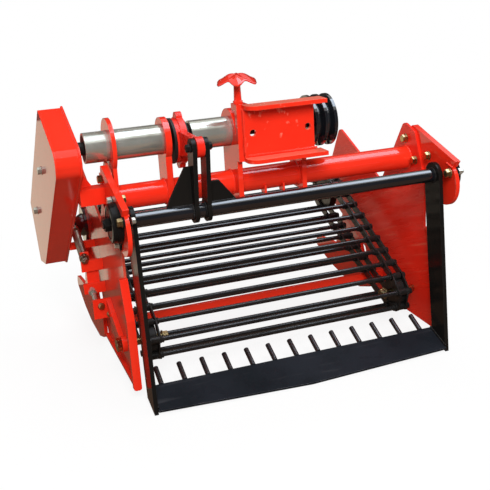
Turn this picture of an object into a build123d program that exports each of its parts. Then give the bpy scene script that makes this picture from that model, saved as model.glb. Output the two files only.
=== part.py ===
from build123d import *
import math
import os

# Potato digger for a two-wheel tractor: a vibrating shovel in front of an inclined rod conveyor.
# Millimetres. +X is to the right seen from in front of the shovel, -Y is the direction of travel
# and +Z is up. While the pieces are made, x is 0 at mid width between the two side frames, y is 0
# at the front corners of the shovel and z is 0 on the ground. At the end everything moves along the
# ground, so that the origin is in the middle of the machine's outline.

# ---- Driving dimensions -------------------------------------------------------------------

# Shovel: two swinging arms, a blade between them and finger rods behind the blade.
arm_span = 630.0             # over the outer faces of the two arms
arm_thickness = 8.0
arm_width = 52.0
blade_thickness = 5.0
blade_rear_y = 64.0
blade_rear_z = 32.0          # top of the blade's rear edge
blade_front_z = 10.0         # top of the blade's front corners
blade_point = 14.0           # how far the middle of the front edge runs ahead of its corners
finger_count = 13
finger_diameter = 10.0
finger_length = 44.0
finger_rise_deg = 25.0
finger_side_margin = 32.0    # from an arm's outer face to the first finger

# Pivot of the shovel: a round tube that turns on a pin in each end plate.
pivot_y = 60.0
pivot_z = 364.0
pivot_tube_diameter = 27.0
pivot_pin_diameter = 16.0
running_clearance = 0.1      # radial, between a pin and its bore
lever_x = -180.0             # plane of the eccentric rod
lever_pin_y = 46.0
lever_pin_z = 484.0
lever_plate_thickness = 8.0
lever_plate_width = 34.0
lever_pin_diameter = 12.0

# Main beam and the drive shaft above it.
beam_y = 188.0
beam_z = 376.0
beam_diameter = 48.0
beam_wall = 4.0
shaft_y = 188.0
shaft_z = 479.0
shaft_diameter = 25.0
guard_diameter = 58.0
guard_wall = 4.0
weld_gap = 0.2               # radial, where a tube sits in a plate's hole

# Side frames.
side_clearance = 5.0         # from an arm's outer face to a side plate
side_thickness = 5.0
end_thickness = 8.0
nose_radius = 46.0
nose_offset = 14.0           # the nose's centre lies this far ahead of the pivot and below it
flange_bar_width = 12.0

# Conveyor: a loop of rods on two side chains.
deck_y = 165.0               # the side plates follow a line from here to the rear axle
deck_z = 96.0
front_wheel_y = 160.0
front_wheel_z = 87.0
front_radius = 37.0          # of the rods' middles about the front wheels
rear_axle_y = 510.0
rear_axle_z = 243.0
rear_radius = 47.0           # of the rods' middles about the rear sprockets
rod_diameter = 10.0
rod_count = 25
first_rod = 10.0             # how far up the top run the first rod lies
chain_side_gap = 30.0        # from a side plate to the chain's outer links
chain_width = 28.0
link_thickness = 4.0
link_height = 15.0
rear_axle_diameter = 28.0
stub_diameter = 16.0
wheel_clearance = 0.3

# Drive: belt pulley, shaft, eccentric and its rod.
eccentric_throw = 6.0
eccentric_radius = 20.0
housing_radius = 46.0
housing_lobe_rise = 9.0      # how far a lobe stands out past the ring
housing_lobe_radius = 13.0
housing_flange_width = 12.0  # the lobed part of the ring's width
housing_width = 21.0
housing_bore = 36.0
seal_thickness = 5.0
left_seal_radius = 44.0
right_seal_radius = 38.0
seal_bore = 23.0
rod_eye_radius = 19.0
rod_eye_width = 14.0
eye_side_clearance = 1.0
pulley_diameter = 104.0
pulley_left_x = 92.0
groove_count = 2
groove_pitch = 20.5
groove_depth = 15.0
rim_width = 6.0

# Hitch bracket: a channel that opens forward, with two bolt holes in its web.
bracket_left_x = -66.0
bracket_web_right_x = 79.0
bracket_flange_right_x = 95.0
bracket_web_front_y = 120.0
bracket_thickness = 8.0
bracket_low_z = 427.0
bracket_high_z = 537.0
bracket_flange_depth = 30.0
hitch_hole_diameter = 13.0
hitch_hole_pitch = 114.0
hitch_hole_mid_x = 9.0

# Chain case at the left end.
case_gap = 60.0              # from the left side plate to the case
case_width = 48.0
case_cover_thickness = 3.0
case_wall = 3.0
case_bend_radius = 26.0

parts = {}


# ---- Helpers -------------------------------------------------------------------------------

def outline(points):
    """A closed outline of straight edges through (y, z) points."""
    return make_face(Polyline(*points, close=True))


def disc(y, z, radius):
    """A round outline in the side view."""
    return Pos(y, z) * Circle(radius)


def side_slab(sketch, x_from, x_to):
    """A side-view (y, z) outline made solid between two places across the machine."""
    return Pos(x_from, 0, 0) * extrude(Plane.YZ * sketch, amount=x_to - x_from)


def bar_x(y, z, diameter, x_from, x_to):
    """A round bar along X."""
    return side_slab(disc(y, z, diameter / 2), x_from, x_to)


def tube_x(y, z, outer, inner, x_from, x_to):
    """A round tube along X."""
    return bar_x(y, z, outer, x_from, x_to) - bar_x(y, z, inner, x_from, x_to)


def block(x, y, z):
    """A box from pairs of limits along X, Y and Z."""
    centre = ((x[0] + x[1]) / 2, (y[0] + y[1]) / 2, (z[0] + z[1]) / 2)
    return Pos(*centre) * Box(x[1] - x[0], y[1] - y[0], z[1] - z[0])


def hexagon_x(y, z, across_flats, x_from, x_to):
    """A hexagonal nut or bolt head along X."""
    sketch = Pos(y, z) * RegularPolygon(across_flats / 2, 6, major_radius=False)
    return side_slab(sketch, x_from, x_to)


def rounded(sketch, corner_points, radius):
    """Rounds the named corners of an outline."""
    corners = [sketch.vertices().sort_by_distance((y, z, 0))[0] for y, z in corner_points]
    return fillet(corners, radius)


def both_sides(name, right_piece):
    """Stores a piece made for the right side, and its mirror image for the left, as two nodes."""
    parts[name + "_right"] = right_piece
    parts[name + "_left"] = mirror(right_piece, about=Plane.YZ)


def as_pair(name, right_piece):
    """Stores a piece made for the right side and its mirror image as one node of two solids."""
    parts[name] = Part() + [right_piece, mirror(right_piece, about=Plane.YZ)]


# ---- Derived places ------------------------------------------------------------------------

arm_outer_x = arm_span / 2
arm_inner_x = arm_outer_x - arm_thickness
side_inner = arm_outer_x + side_clearance
side_outer_x = side_inner + side_thickness
end_outer_x = side_outer_x + end_thickness
chain_outer_x = side_inner - chain_side_gap
chain_inner_x = chain_outer_x - chain_width
case_inner_x = -side_inner - case_gap
case_outer_x = case_inner_x - case_width
beam_rear_y = beam_y + beam_diameter / 2
run_y = rear_axle_y - deck_y
run_z = rear_axle_z - deck_z
run_length = math.hypot(run_y, run_z)
run_angle = math.atan2(run_z, run_y)


def beside_run(along, above):
    """A side-view point, measured along the side plates' line and square to it."""
    y = deck_y + along * math.cos(run_angle) - above * math.sin(run_angle)
    z = deck_z + along * math.sin(run_angle) + above * math.cos(run_angle)
    return (y, z)


# ---- Side frames ---------------------------------------------------------------------------

# The side plate: foot tip in front, a wide band along the conveyor, and an ear for the beam.
band_top = 135.0
band_bottom = -64.0
band_rear = run_length + 98.0
tip = (80.0, 24.0)
sill_rear = (352.0, 30.0)
front_low = (84.0, 165.0)
front_mid = (113.0, 240.0)
front_top = (113.0, 340.0)
ear_front = (150.0, 436.0)
ear_rear = (196.0, 452.0)
ear_radius = 16.0
plate_corner_radius = 14.0
band_top_front = beside_run(205.0, band_top)
band_top_rear = beside_run(band_rear - 40.0, band_top)
band_low_rear = beside_run(band_rear - 24.0, band_bottom + 74.0)
band_low_corner = beside_run(run_length + 16.0, band_bottom)
band_low_front = beside_run(210.0, band_bottom)


def side_outline():
    """The whole side plate as one outline with rounded rear and ear corners."""
    face = outline([
        tip, sill_rear, band_low_front, band_low_corner, band_low_rear,
        band_top_rear, band_top_front, ear_rear, ear_front, front_top, front_mid, front_low])
    face = rounded(face, [ear_rear, ear_front], ear_radius)
    return rounded(face, [band_low_rear, band_top_rear], plate_corner_radius)


beam_hole = disc(beam_y, beam_z, beam_diameter / 2 + weld_gap)
rear_axle_bore_radius = rear_axle_diameter / 2 + wheel_clearance
axle_hole = disc(rear_axle_y, rear_axle_z, rear_axle_bore_radius)
stub_hole = disc(front_wheel_y, front_wheel_z, stub_diameter / 2 + weld_gap)
side_face = side_outline() - beam_hole - axle_hole - stub_hole
both_sides("side_plate", side_slab(side_face, side_inner, side_outer_x))

# Stiffening strips welded along the front edge and the sill, standing outwards.
strip_width = 11.0
strip_thickness = 9.0
strip_corner_radius = 5.0
sill_strip_width = 7.0
sill_strip_height = 6.0
front_strip = side_slab(
    outline([(tip[0] - strip_thickness, tip[1]), tip, front_low, front_mid,
             (front_mid[0] - strip_thickness, front_mid[1]), (front_low[0] - strip_thickness, front_low[1])]),
    side_inner, side_outer_x + strip_width)
foot_edges = front_strip.edges().filter_by(Axis.Y).group_by(Axis.Z)[0]
front_strip = fillet(foot_edges, strip_corner_radius)
sill_strip = outline([
    tip, sill_rear, (sill_rear[0], sill_rear[1] + sill_strip_height), (tip[0], tip[1] + sill_strip_height)])
both_sides("front_strip", front_strip)
both_sides("sill_strip", side_slab(sill_strip, side_outer_x, side_outer_x + sill_strip_width))
# The end plate carries the shovel pivot in its round nose, and has a sloping bar along its top.
bar_top_front = (5.0, 399.0)
bar_top_rear = (172.0, 449.0)
bar_low_rear = (177.0, 432.0)
bar_low_front = (16.0, 385.0)
bar_corner_radius = 8.0
end_rear_margin = 2.0
end_rear_top = (beam_rear_y + end_rear_margin, 424.0)
end_low_rear = (beam_rear_y + end_rear_margin, 346.0)
nose_y = pivot_y - nose_offset
nose_z = pivot_z - nose_offset
end_face = outline([bar_low_front, bar_low_rear, end_rear_top, end_low_rear, (nose_y, nose_z - nose_radius),
                    (nose_y - nose_radius, nose_z)])
end_face = end_face + disc(nose_y, nose_z, nose_radius)
end_face = end_face - beam_hole - disc(pivot_y, pivot_z, pivot_pin_diameter / 2)
both_sides("end_plate", side_slab(end_face, side_outer_x, end_outer_x))
flange_bar = rounded(outline([bar_top_front, bar_top_rear, bar_low_rear, bar_low_front]),
                     [bar_top_rear], bar_corner_radius) - disc(nose_y, nose_z, nose_radius)
both_sides("flange_bar", side_slab(flange_bar, side_outer_x, side_outer_x + flange_bar_width))
# Flanged pivot bearings on the outside of the end plates, with the pivot pins through them. The
# flange has a flat along the sloping bar.
bearing_radius = 38.0
bearing_thickness = 10.0
bearing_hub_radius = 26.0
bearing_hub_thickness = 9.0
bearing = bar_x(pivot_y, pivot_z, 2 * bearing_radius, end_outer_x, end_outer_x + bearing_thickness)
bearing += bar_x(pivot_y, pivot_z, 2 * bearing_hub_radius, end_outer_x + bearing_thickness,
                 end_outer_x + bearing_thickness + bearing_hub_thickness)
bearing_outer_x = end_outer_x + bearing_thickness + bearing_hub_thickness
bearing -= bar_x(pivot_y, pivot_z, pivot_pin_diameter, end_outer_x, bearing_outer_x)
bearing -= side_slab(flange_bar, side_outer_x, side_outer_x + flange_bar_width)
as_pair("pivot_bearings", bearing)

pin_depth = 40.0
pin_end = 12.0
nut_across_flats = 24.0
nut_thickness = 9.0
collar_diameter = 22.0
collar_gap = 1.0
pin = bar_x(pivot_y, pivot_z, pivot_pin_diameter, arm_inner_x - pin_depth, bearing_outer_x + pin_end)
pin += hexagon_x(pivot_y, pivot_z, nut_across_flats, bearing_outer_x, bearing_outer_x + nut_thickness)
pin += bar_x(pivot_y, pivot_z, collar_diameter, arm_outer_x + collar_gap, side_outer_x)
as_pair("pivot_pins", pin)

# ---- Main beam and what stands on it ---------------------------------------------------------

parts["main_beam"] = tube_x(beam_y, beam_z, beam_diameter, beam_diameter - 2 * beam_wall,
                            -side_outer_x - end_thickness, side_outer_x + end_thickness)

# Two small lugs stand under the beam, ahead of it.
lug_table = [
    # x_left, x_right
    (-15.0, -11.0),
    (24.0, 28.0),
]
beam_bar = bar_x(beam_y, beam_z, beam_diameter, -side_inner, side_inner)
beam_lug_front_y = beam_y - beam_diameter / 2 - 5.0
beam_lug_depth = 22.0
beam_lug_low_z = beam_z - beam_diameter / 2 - 3.0
beam_lug_height = 17.0
beam_lugs = [block(x_limits, (beam_lug_front_y, beam_lug_front_y + beam_lug_depth),
                   (beam_lug_low_z, beam_lug_low_z + beam_lug_height)) - beam_bar
             for x_limits in lug_table]
parts["beam_lugs"] = Part() + beam_lugs

# A rear cross bar ties the side plates together below the conveyor.
cross_bar_y = 300.0
cross_bar_z = 75.0
cross_bar_depth = 8.0
cross_bar_height = 22.0
parts["rear_cross_bar"] = block((-side_inner, side_inner),
                                (cross_bar_y - cross_bar_depth / 2, cross_bar_y + cross_bar_depth / 2),
                                (cross_bar_z - cross_bar_height / 2, cross_bar_z + cross_bar_height / 2))

# Upright plates on the beam that hold the shaft guards: a round head about the shaft, and a stem.
mid_post_x = -213.0
mid_post_thickness = 12.0
hitch_post_thickness = 10.0
hitch_post_front_y = 140.0
hitch_post_x = bracket_left_x - hitch_post_thickness
ring_plate_inset = 3.0
upright_table = [
    # name, x_left, thickness, ring_radius, front_y, rear_y, low_z
    ("ring_plate", -side_inner + ring_plate_inset, 8.0, 52.0, 152.0, beam_rear_y + 12.0, beam_z - 12.0),
    ("mid_post", mid_post_x, mid_post_thickness, 42.0, 158.0, beam_rear_y + 6.0, beam_z - 18.0),
    ("hitch_post", hitch_post_x, hitch_post_thickness, 44.0, hitch_post_front_y, beam_rear_y + 10.0,
     beam_z - beam_diameter / 2 - 6.0),
]


def upright(x_left, thickness, ring_radius, front_y, rear_y, low_z):
    """A plate with a round head about the shaft and a straight stem down to the beam."""
    stem = outline([(front_y, low_z), (rear_y, low_z), (rear_y, shaft_z), (front_y, shaft_z)])
    head = disc(shaft_y, shaft_z, ring_radius)
    guard_hole = disc(shaft_y, shaft_z, guard_diameter / 2 + weld_gap)
    return side_slab(stem + head - guard_hole - beam_hole, x_left, x_left + thickness)


for name, x_left, thickness, ring_radius, front_y, rear_y, low_z in upright_table:
    parts[name] = upright(x_left, thickness, ring_radius, front_y, rear_y, low_z)

# The right hitch post carries the bracket's bottom flange on the beam, and the shaft's end bearing.
right_post_x = 64.0
right_post_thickness = 10.0
right_post_front_y = 152.0
right_post_radius = 40.0
right_post_rear_y = beam_rear_y + 4.0
right_post = upright(right_post_x, right_post_thickness, right_post_radius, right_post_front_y,
                     right_post_rear_y, beam_z - beam_diameter / 2 - 4.0)
parts["hitch_post_right"] = right_post

# Shaft guards: bright tubes over the shaft, closed by dark bearing rings.
guard_overhang = 42.0        # past the left side plate, towards the chain case
guard_table = [
    # x_from, x_to
    (-side_inner - guard_overhang, mid_post_x + mid_post_thickness),
    (-156.0, bracket_left_x),
]
ring_depth = 12.0
guard_bore = guard_diameter - 2 * guard_wall
guards = []
bearing_rings = []
for x_from, x_to in guard_table:
    guards.append(tube_x(shaft_y, shaft_z, guard_diameter, guard_bore, x_from, x_to))
    for ring_from in (x_from, x_to - ring_depth):
        bearing_rings.append(tube_x(shaft_y, shaft_z, guard_bore, shaft_diameter + 2 * running_clearance,
                                    ring_from, ring_from + ring_depth))
bearing_rings.append(tube_x(shaft_y, shaft_z, guard_diameter, shaft_diameter + 2 * running_clearance,
                            right_post_x, right_post_x + right_post_thickness))
parts["shaft_guards"] = Part() + guards
parts["shaft_bearings"] = Part() + bearing_rings

# ---- Hitch bracket and its lock screw --------------------------------------------------------

web_back_y = bracket_web_front_y + bracket_thickness
flange_front_y = bracket_web_front_y - bracket_flange_depth
bracket = block((bracket_left_x, bracket_web_right_x), (bracket_web_front_y, web_back_y),
                (bracket_low_z, bracket_high_z))
flange_corner_radius = 22.0
for flange_z in (bracket_low_z, bracket_high_z - bracket_thickness):
    flange = Rectangle(bracket_flange_right_x - bracket_left_x, web_back_y - flange_front_y)
    flange = Pos((bracket_left_x + bracket_flange_right_x) / 2, (flange_front_y + web_back_y) / 2) * flange
    front_left = flange.vertices().sort_by_distance((bracket_left_x, flange_front_y, 0))[0]
    flange = fillet(front_left, flange_corner_radius)
    bracket += Pos(0, 0, flange_z) * extrude(flange, amount=bracket_thickness)
hole_z = (bracket_low_z + bracket_high_z) / 2
for hole_x in (hitch_hole_mid_x - hitch_hole_pitch / 2, hitch_hole_mid_x + hitch_hole_pitch / 2):
    hole = Pos(hole_x, web_back_y, hole_z) * Rot(90, 0, 0) * Cylinder(
        hitch_hole_diameter / 2, 2 * bracket_thickness)
    bracket -= hole
parts["hitch_bracket"] = bracket

# Two straps tie the bracket back to the posts behind its web.
right_strap_top_z = shaft_z - 20.0
strap_table = [
    # x_left, x_right, rear_y, low_z, high_z
    (hitch_post_x, bracket_left_x, hitch_post_front_y, bracket_low_z, bracket_high_z),
    (right_post_x, right_post_x + right_post_thickness, right_post_front_y, bracket_low_z,
     right_strap_top_z),
]
straps = [block((x_left, x_right), (web_back_y, rear_y), (low_z, high_z))
          for x_left, x_right, rear_y, low_z, high_z in strap_table]
parts["bracket_straps"] = Part() + straps

# ---- Shovel ---------------------------------------------------------------------------------

shovel_slope = math.atan2(blade_rear_z - blade_front_z, blade_rear_y)
arm_half = arm_width / 2
arm_bulge = (2.0, -24.0)     # the widest place behind the pivot, measured from the arm's round top
arm_rear_mid = (74.0, 180.0)
arm_heel = (blade_rear_y - 7.0, blade_rear_z - 3.0)
arm_heel_low = (blade_rear_y - 9.0, blade_rear_z - 18.0)
arm_tip = (4.0, 0.0)
arm_face = outline([
    (pivot_y - arm_half, pivot_z), (pivot_y + arm_half, pivot_z),
    (pivot_y + arm_half + arm_bulge[0], pivot_z + arm_bulge[1]), arm_rear_mid, arm_heel, arm_heel_low,
    arm_tip])
arm_face = arm_face + disc(pivot_y, pivot_z, arm_half)
arm_face = arm_face - disc(pivot_y, pivot_z, pivot_pin_diameter / 2 + running_clearance)
both_sides("arm", side_slab(arm_face, arm_inner_x, arm_outer_x))

parts["pivot_tube"] = tube_x(pivot_y, pivot_z, pivot_tube_diameter,
                             pivot_pin_diameter + 2 * running_clearance, -arm_inner_x, arm_inner_x)

blade_length = math.hypot(blade_rear_y, blade_rear_z - blade_front_z)
blade_face = make_face(Polyline((-arm_inner_x, blade_length), (arm_inner_x, blade_length), (arm_inner_x, 0),
                                (0, -blade_point), (-arm_inner_x, 0), close=True))
blade = extrude(blade_face, amount=-blade_thickness)
parts["blade"] = Pos(0, 0, blade_front_z) * Rot(math.degrees(shovel_slope), 0, 0) * blade

finger_rise = math.radians(finger_rise_deg)
half_blade = blade_thickness / 2
finger_shift = half_blade * abs(math.sin(finger_rise - shovel_slope))
finger_base = (
    blade_rear_y + half_blade * math.sin(shovel_slope) + finger_shift * math.cos(finger_rise),
    blade_rear_z - half_blade * math.cos(shovel_slope) + finger_shift * math.sin(finger_rise))
finger_pitch = (arm_span - 2 * finger_side_margin) / (finger_count - 1)
fingers = []
for index in range(finger_count):
    finger_x = -arm_span / 2 + finger_side_margin + index * finger_pitch
    finger = Cylinder(finger_diameter / 2, finger_length, align=(Align.CENTER, Align.CENTER, Align.MIN))
    fingers.append(Pos(finger_x, *finger_base) * Rot(finger_rise_deg - 90.0, 0, 0) * finger)
parts["fingers"] = Part() + fingers

# The lever: two plates that clamp the pivot tube and hold the eccentric rod between them.
plate_gap = rod_eye_width + 2 * eye_side_clearance
lever_lean = math.atan2(pivot_y - lever_pin_y, lever_pin_z - pivot_z)
lever_half = lever_plate_width / 2
lever_side = (lever_half * math.cos(lever_lean), lever_half * math.sin(lever_lean))
lever_face = outline([
    (pivot_y - lever_side[0], pivot_z - lever_side[1]), (pivot_y + lever_side[0], pivot_z + lever_side[1]),
    (lever_pin_y + lever_side[0], lever_pin_z + lever_side[1]),
    (lever_pin_y - lever_side[0], lever_pin_z - lever_side[1])])
lever_clamp_radius = 22.0
lever_face = lever_face + disc(pivot_y, pivot_z, lever_clamp_radius)
lever_face = lever_face + disc(lever_pin_y, lever_pin_z, lever_half)
lever_face = lever_face - disc(pivot_y, pivot_z, pivot_tube_diameter / 2)
lever_face = lever_face - disc(lever_pin_y, lever_pin_z, lever_pin_diameter / 2)
left_plate_x = lever_x - plate_gap / 2 - lever_plate_thickness
right_plate_x = lever_x + plate_gap / 2
lever_plates = [side_slab(lever_face, plate_x, plate_x + lever_plate_thickness)
                for plate_x in (left_plate_x, right_plate_x)]
parts["lever_plates"] = Part() + lever_plates

pin_head = 6.0
lever_pin = bar_x(lever_pin_y, lever_pin_z, lever_pin_diameter, left_plate_x - pin_head,
                  right_plate_x + lever_plate_thickness + pin_head)
parts["lever_pin"] = lever_pin

# Gussets stand on the tube beside the lever plates; each is an outline in the front view.
gusset_thickness = 6.0
gusset_foot_height = 10.0
gusset_seat_z = pivot_z + pivot_tube_diameter / 4
pivot_tube_bar = bar_x(pivot_y, pivot_z, pivot_tube_diameter, -arm_inner_x, arm_inner_x)
gusset_table = [
    # x at the plate, height, width at the top, width at the tube
    (left_plate_x, 84.0, -10.0, -48.0),
    (right_plate_x + lever_plate_thickness, 52.0, 22.0, 50.0),
]
gussets = []
for plate_x, height, top_width, foot_width in gusset_table:
    gusset_face = Plane.XZ * make_face(Polyline(
        (plate_x, gusset_seat_z), (plate_x, pivot_z + height), (plate_x + top_width, pivot_z + height),
        (plate_x + foot_width, gusset_seat_z + gusset_foot_height), (plate_x + foot_width, gusset_seat_z),
        close=True))
    gusset = Pos(0, pivot_y + gusset_thickness / 2, 0) * extrude(gusset_face, amount=gusset_thickness)
    gussets.append(gusset - pivot_tube_bar)
parts["lever_gussets"] = Part() + gussets

# ---- Drive ----------------------------------------------------------------------------------

shaft_end = 8.0              # past the pulley on the right
end_inside_case = 12.0       # past the case's inner wall, for both shafts
shaft_left_x = case_inner_x - case_wall - end_inside_case
pulley_width = groove_count * groove_pitch + rim_width
pulley_right_x = pulley_left_x + pulley_width
shaft_right_x = pulley_right_x + shaft_end
parts["drive_shaft"] = bar_x(shaft_y, shaft_z, shaft_diameter, shaft_left_x, shaft_right_x)

groove_half_angle = math.radians(18.0)
groove_half_top = (groove_pitch - rim_width) / 2
groove_half_root = groove_half_top - groove_depth * math.tan(groove_half_angle)
pulley_radius = pulley_diameter / 2
profile = [(pulley_left_x, shaft_diameter / 2), (pulley_left_x, pulley_radius)]
for index in range(groove_count):
    groove_x = pulley_left_x + rim_width / 2 + (index + 0.5) * groove_pitch
    profile += [(groove_x - groove_half_top, pulley_radius),
                (groove_x - groove_half_root, pulley_radius - groove_depth),
                (groove_x + groove_half_root, pulley_radius - groove_depth),
                (groove_x + groove_half_top, pulley_radius)]
profile += [(pulley_right_x, pulley_radius), (pulley_right_x, shaft_diameter / 2)]
pulley_face = Plane.XZ * make_face(Polyline(*profile, close=True))
parts["belt_pulley"] = Pos(0, shaft_y, shaft_z) * revolve(pulley_face, Axis.X)

eccentric_inset = 1.0
eccentric_width = housing_width - 2 * eccentric_inset
eccentric = bar_x(shaft_y, shaft_z - eccentric_throw, 2 * eccentric_radius,
                  lever_x - eccentric_width / 2, lever_x + eccentric_width / 2)
eccentric -= bar_x(shaft_y, shaft_z, shaft_diameter, lever_x - housing_width, lever_x + housing_width)
parts["eccentric"] = eccentric

# The eccentric rod: a ring about the eccentric with two bolt lobes, a tapering neck, and an eye on
# the lever pin. The ring's right part is the wide lobed flange.
ring_z = shaft_z - eccentric_throw
neck_ring_half = 24.0
neck_eye_half = 14.0
neck_root_y = shaft_y - housing_radius + 8.0
rod_x_from = lever_x - housing_width / 2
rod_x_to = lever_x + housing_width / 2
eye_x_from = lever_x - rod_eye_width / 2
eye_x_to = lever_x + rod_eye_width / 2
ring_step = 3.0              # the narrow part of the ring is this much smaller
flange_face = disc(shaft_y, ring_z, housing_radius)
for side in (1, -1):
    lobe_z = ring_z + side * (housing_radius + housing_lobe_rise - housing_lobe_radius)
    flange_face += disc(shaft_y, lobe_z, housing_lobe_radius)
ring = side_slab(flange_face, rod_x_to - housing_flange_width, rod_x_to)
ring += side_slab(disc(shaft_y, ring_z, housing_radius - ring_step), rod_x_from, rod_x_to)
neck_face = outline([
    (neck_root_y, ring_z + neck_ring_half), (lever_pin_y, lever_pin_z + neck_eye_half),
    (lever_pin_y, lever_pin_z - neck_eye_half), (neck_root_y, ring_z - neck_ring_half)])
neck = side_slab(neck_face + disc(lever_pin_y, lever_pin_z, rod_eye_radius), eye_x_from, eye_x_to)
rod_piece = ring + neck
rod_piece -= bar_x(shaft_y, ring_z, 2 * housing_bore, rod_x_from, rod_x_to)
rod_piece -= bar_x(lever_pin_y, lever_pin_z, lever_pin_diameter + 2 * running_clearance, eye_x_from, eye_x_to)
parts["eccentric_rod"] = rod_piece

seal_table = [
    # x_from, radius
    (rod_x_from - seal_thickness, left_seal_radius),
    (rod_x_to, right_seal_radius),
]
seals = [tube_x(shaft_y, ring_z, 2 * radius, 2 * seal_bore, x_from, x_from + seal_thickness)
         for x_from, radius in seal_table]
parts["housing_seals"] = Part() + seals

# ---- Chain case -----------------------------------------------------------------------------

case_slope = math.atan2(rear_axle_z - shaft_z, rear_axle_y - shaft_y)
case_length = math.hypot(rear_axle_z - shaft_z, rear_axle_y - shaft_y)


def beside_case(along, above):
    """A side-view point, measured from the shaft along the chain case and square to it."""
    y = shaft_y + along * math.cos(case_slope) - above * math.sin(case_slope)
    z = shaft_z + along * math.sin(case_slope) + above * math.cos(case_slope)
    return (y, z)


case_nose = [beside_case(-75.0, -47.0), beside_case(-42.0, -71.0)]
case_face = outline([
    beside_case(20.0, 100.0), *case_nose,
    beside_case(case_length + 8.0, -77.0), beside_case(case_length + 92.0, -38.0),
    beside_case(case_length + 71.0, 100.0)])
case_face = rounded(case_face, case_nose, case_bend_radius)
case_shell = side_slab(case_face, case_outer_x + case_cover_thickness, case_inner_x)
case_shell -= side_slab(offset(case_face, -case_wall), case_outer_x + case_cover_thickness,
                        case_inner_x - case_wall)
case_shell -= side_slab(disc(shaft_y, shaft_z, shaft_diameter / 2 + wheel_clearance),
                        case_inner_x - case_wall, case_inner_x)
case_shell -= side_slab(axle_hole, case_inner_x - case_wall, case_inner_x)
parts["chain_case"] = case_shell
parts["chain_case_cover"] = side_slab(case_face, case_outer_x, case_outer_x + case_cover_thickness)

# A square arm level with the top of the beam holds the case, with the beam's end welded to it.
case_arm_half = 16.0
case_arm_mid_z = beam_z + 12.0
case_gusset_foot = 28.0
case_gusset_height = 46.0
case_gusset_thickness = 6.0
case_arm_top_z = case_arm_mid_z + case_arm_half
case_arm = block((case_inner_x, -end_outer_x), (beam_y - case_arm_half, beam_y + case_arm_half),
                 (case_arm_mid_z - case_arm_half, case_arm_top_z))
gusset_face = Plane.XZ * make_face(Polyline(
    (case_inner_x, case_arm_top_z), (case_inner_x + case_gusset_foot, case_arm_top_z),
    (case_inner_x, case_arm_top_z + case_gusset_height), close=True))
case_arm += Pos(0, beam_y + case_arm_half, 0) * extrude(gusset_face, amount=case_gusset_thickness)
parts["case_arm"] = case_arm

# A lower strut ties the case to the left side plate.
strut_from_axle = 76.0       # along the case
strut_below = 74.0           # below the case's middle line
strut_y, strut_z = beside_case(case_length - strut_from_axle, -strut_below)
strut_thickness = 6.0
strut_height = 16.0
parts["case_strut"] = block((case_inner_x, -side_outer_x),
                            (strut_y - strut_thickness / 2, strut_y + strut_thickness / 2),
                            (strut_z - strut_height / 2, strut_z + strut_height / 2))

# ---- Conveyor -------------------------------------------------------------------------------

centres_y = rear_axle_y - front_wheel_y
centres_z = rear_axle_z - front_wheel_z
centres = math.hypot(centres_y, centres_z)
taper = math.asin((front_radius - rear_radius) / centres)
top_angle = math.atan2(centres_z, centres_y) - taper
low_angle = math.atan2(centres_z, centres_y) + taper
straight = centres * math.cos(taper)
rear_arc = rear_radius * (math.pi - 2 * taper)
front_arc = front_radius * (math.pi + 2 * taper)
loop_length = 2 * straight + rear_arc + front_arc


def about_front(radius, angle):
    """A side-view point about the front wheels."""
    return (front_wheel_y + radius * math.cos(angle), front_wheel_z + radius * math.sin(angle))


def about_rear(radius, angle):
    """A side-view point about the rear sprockets."""
    return (rear_axle_y + radius * math.cos(angle), rear_axle_z + radius * math.sin(angle))


def on_loop(distance):
    """The side-view point at a distance along the rods' loop, from the start of its top run."""
    up = top_angle + math.pi / 2
    down = low_angle - math.pi / 2
    if distance < straight:
        y, z = about_front(front_radius, up)
        return (y + distance * math.cos(top_angle), z + distance * math.sin(top_angle))
    distance -= straight
    if distance < rear_arc:
        return about_rear(rear_radius, up - distance / rear_radius)
    distance -= rear_arc
    if distance < straight:
        y, z = about_rear(rear_radius, down)
        return (y - distance * math.cos(low_angle), z - distance * math.sin(low_angle))
    return about_front(front_radius, down - (distance - straight) / front_radius)


def loop_face(out):
    """The outline of a loop that lies a little outside the rods' middles, or inside them."""
    wheels = disc(front_wheel_y, front_wheel_z, front_radius + out)
    wheels += disc(rear_axle_y, rear_axle_z, rear_radius + out)
    up = top_angle + math.pi / 2
    down = low_angle - math.pi / 2
    return wheels + outline([
        about_front(front_radius + out, up), about_rear(rear_radius + out, up),
        about_rear(rear_radius + out, down), about_front(front_radius + out, down)])


rod_pitch = loop_length / rod_count
rod_distances = [first_rod + index * rod_pitch for index in range(rod_count)]
rod_points = [on_loop(distance) for distance in rod_distances]
link_sketch = loop_face(link_height / 2) - loop_face(-link_height / 2)
for y, z in rod_points:
    link_sketch -= disc(y, z, rod_diameter / 2)
links = [side_slab(link_sketch, chain_x, chain_x + link_thickness)
         for chain_x in (chain_inner_x, chain_outer_x - link_thickness)]
both_sides("side_chain", Part() + links)
rod_end = 3.0
rod_groups = {"rods_top": [], "rods_rear": [], "rods_bottom": [], "rods_front": []}
for distance, (y, z) in zip(rod_distances, rod_points):
    if distance < straight:
        group = "rods_top"
    elif distance < straight + rear_arc:
        group = "rods_rear"
    elif distance < 2 * straight + rear_arc:
        group = "rods_bottom"
    else:
        group = "rods_front"
    rod_groups[group].append(bar_x(y, z, rod_diameter, -chain_outer_x - rod_end, chain_outer_x + rod_end))
for group, rods in rod_groups.items():
    parts[group] = Part() + rods

# Front wheels on stub axles, and the driven sprockets on the rear axle.
wheel_half_gap = 1.5
wheel_x_from = chain_inner_x + link_thickness + wheel_half_gap
wheel_x_to = chain_outer_x - link_thickness - wheel_half_gap
wheel_radius = front_radius - rod_diameter / 2 - wheel_clearance
stub_inner_x = chain_inner_x - 10.0
wheel = tube_x(front_wheel_y, front_wheel_z, 2 * wheel_radius, stub_diameter, wheel_x_from, wheel_x_to)
as_pair("front_wheels", wheel)

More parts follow.
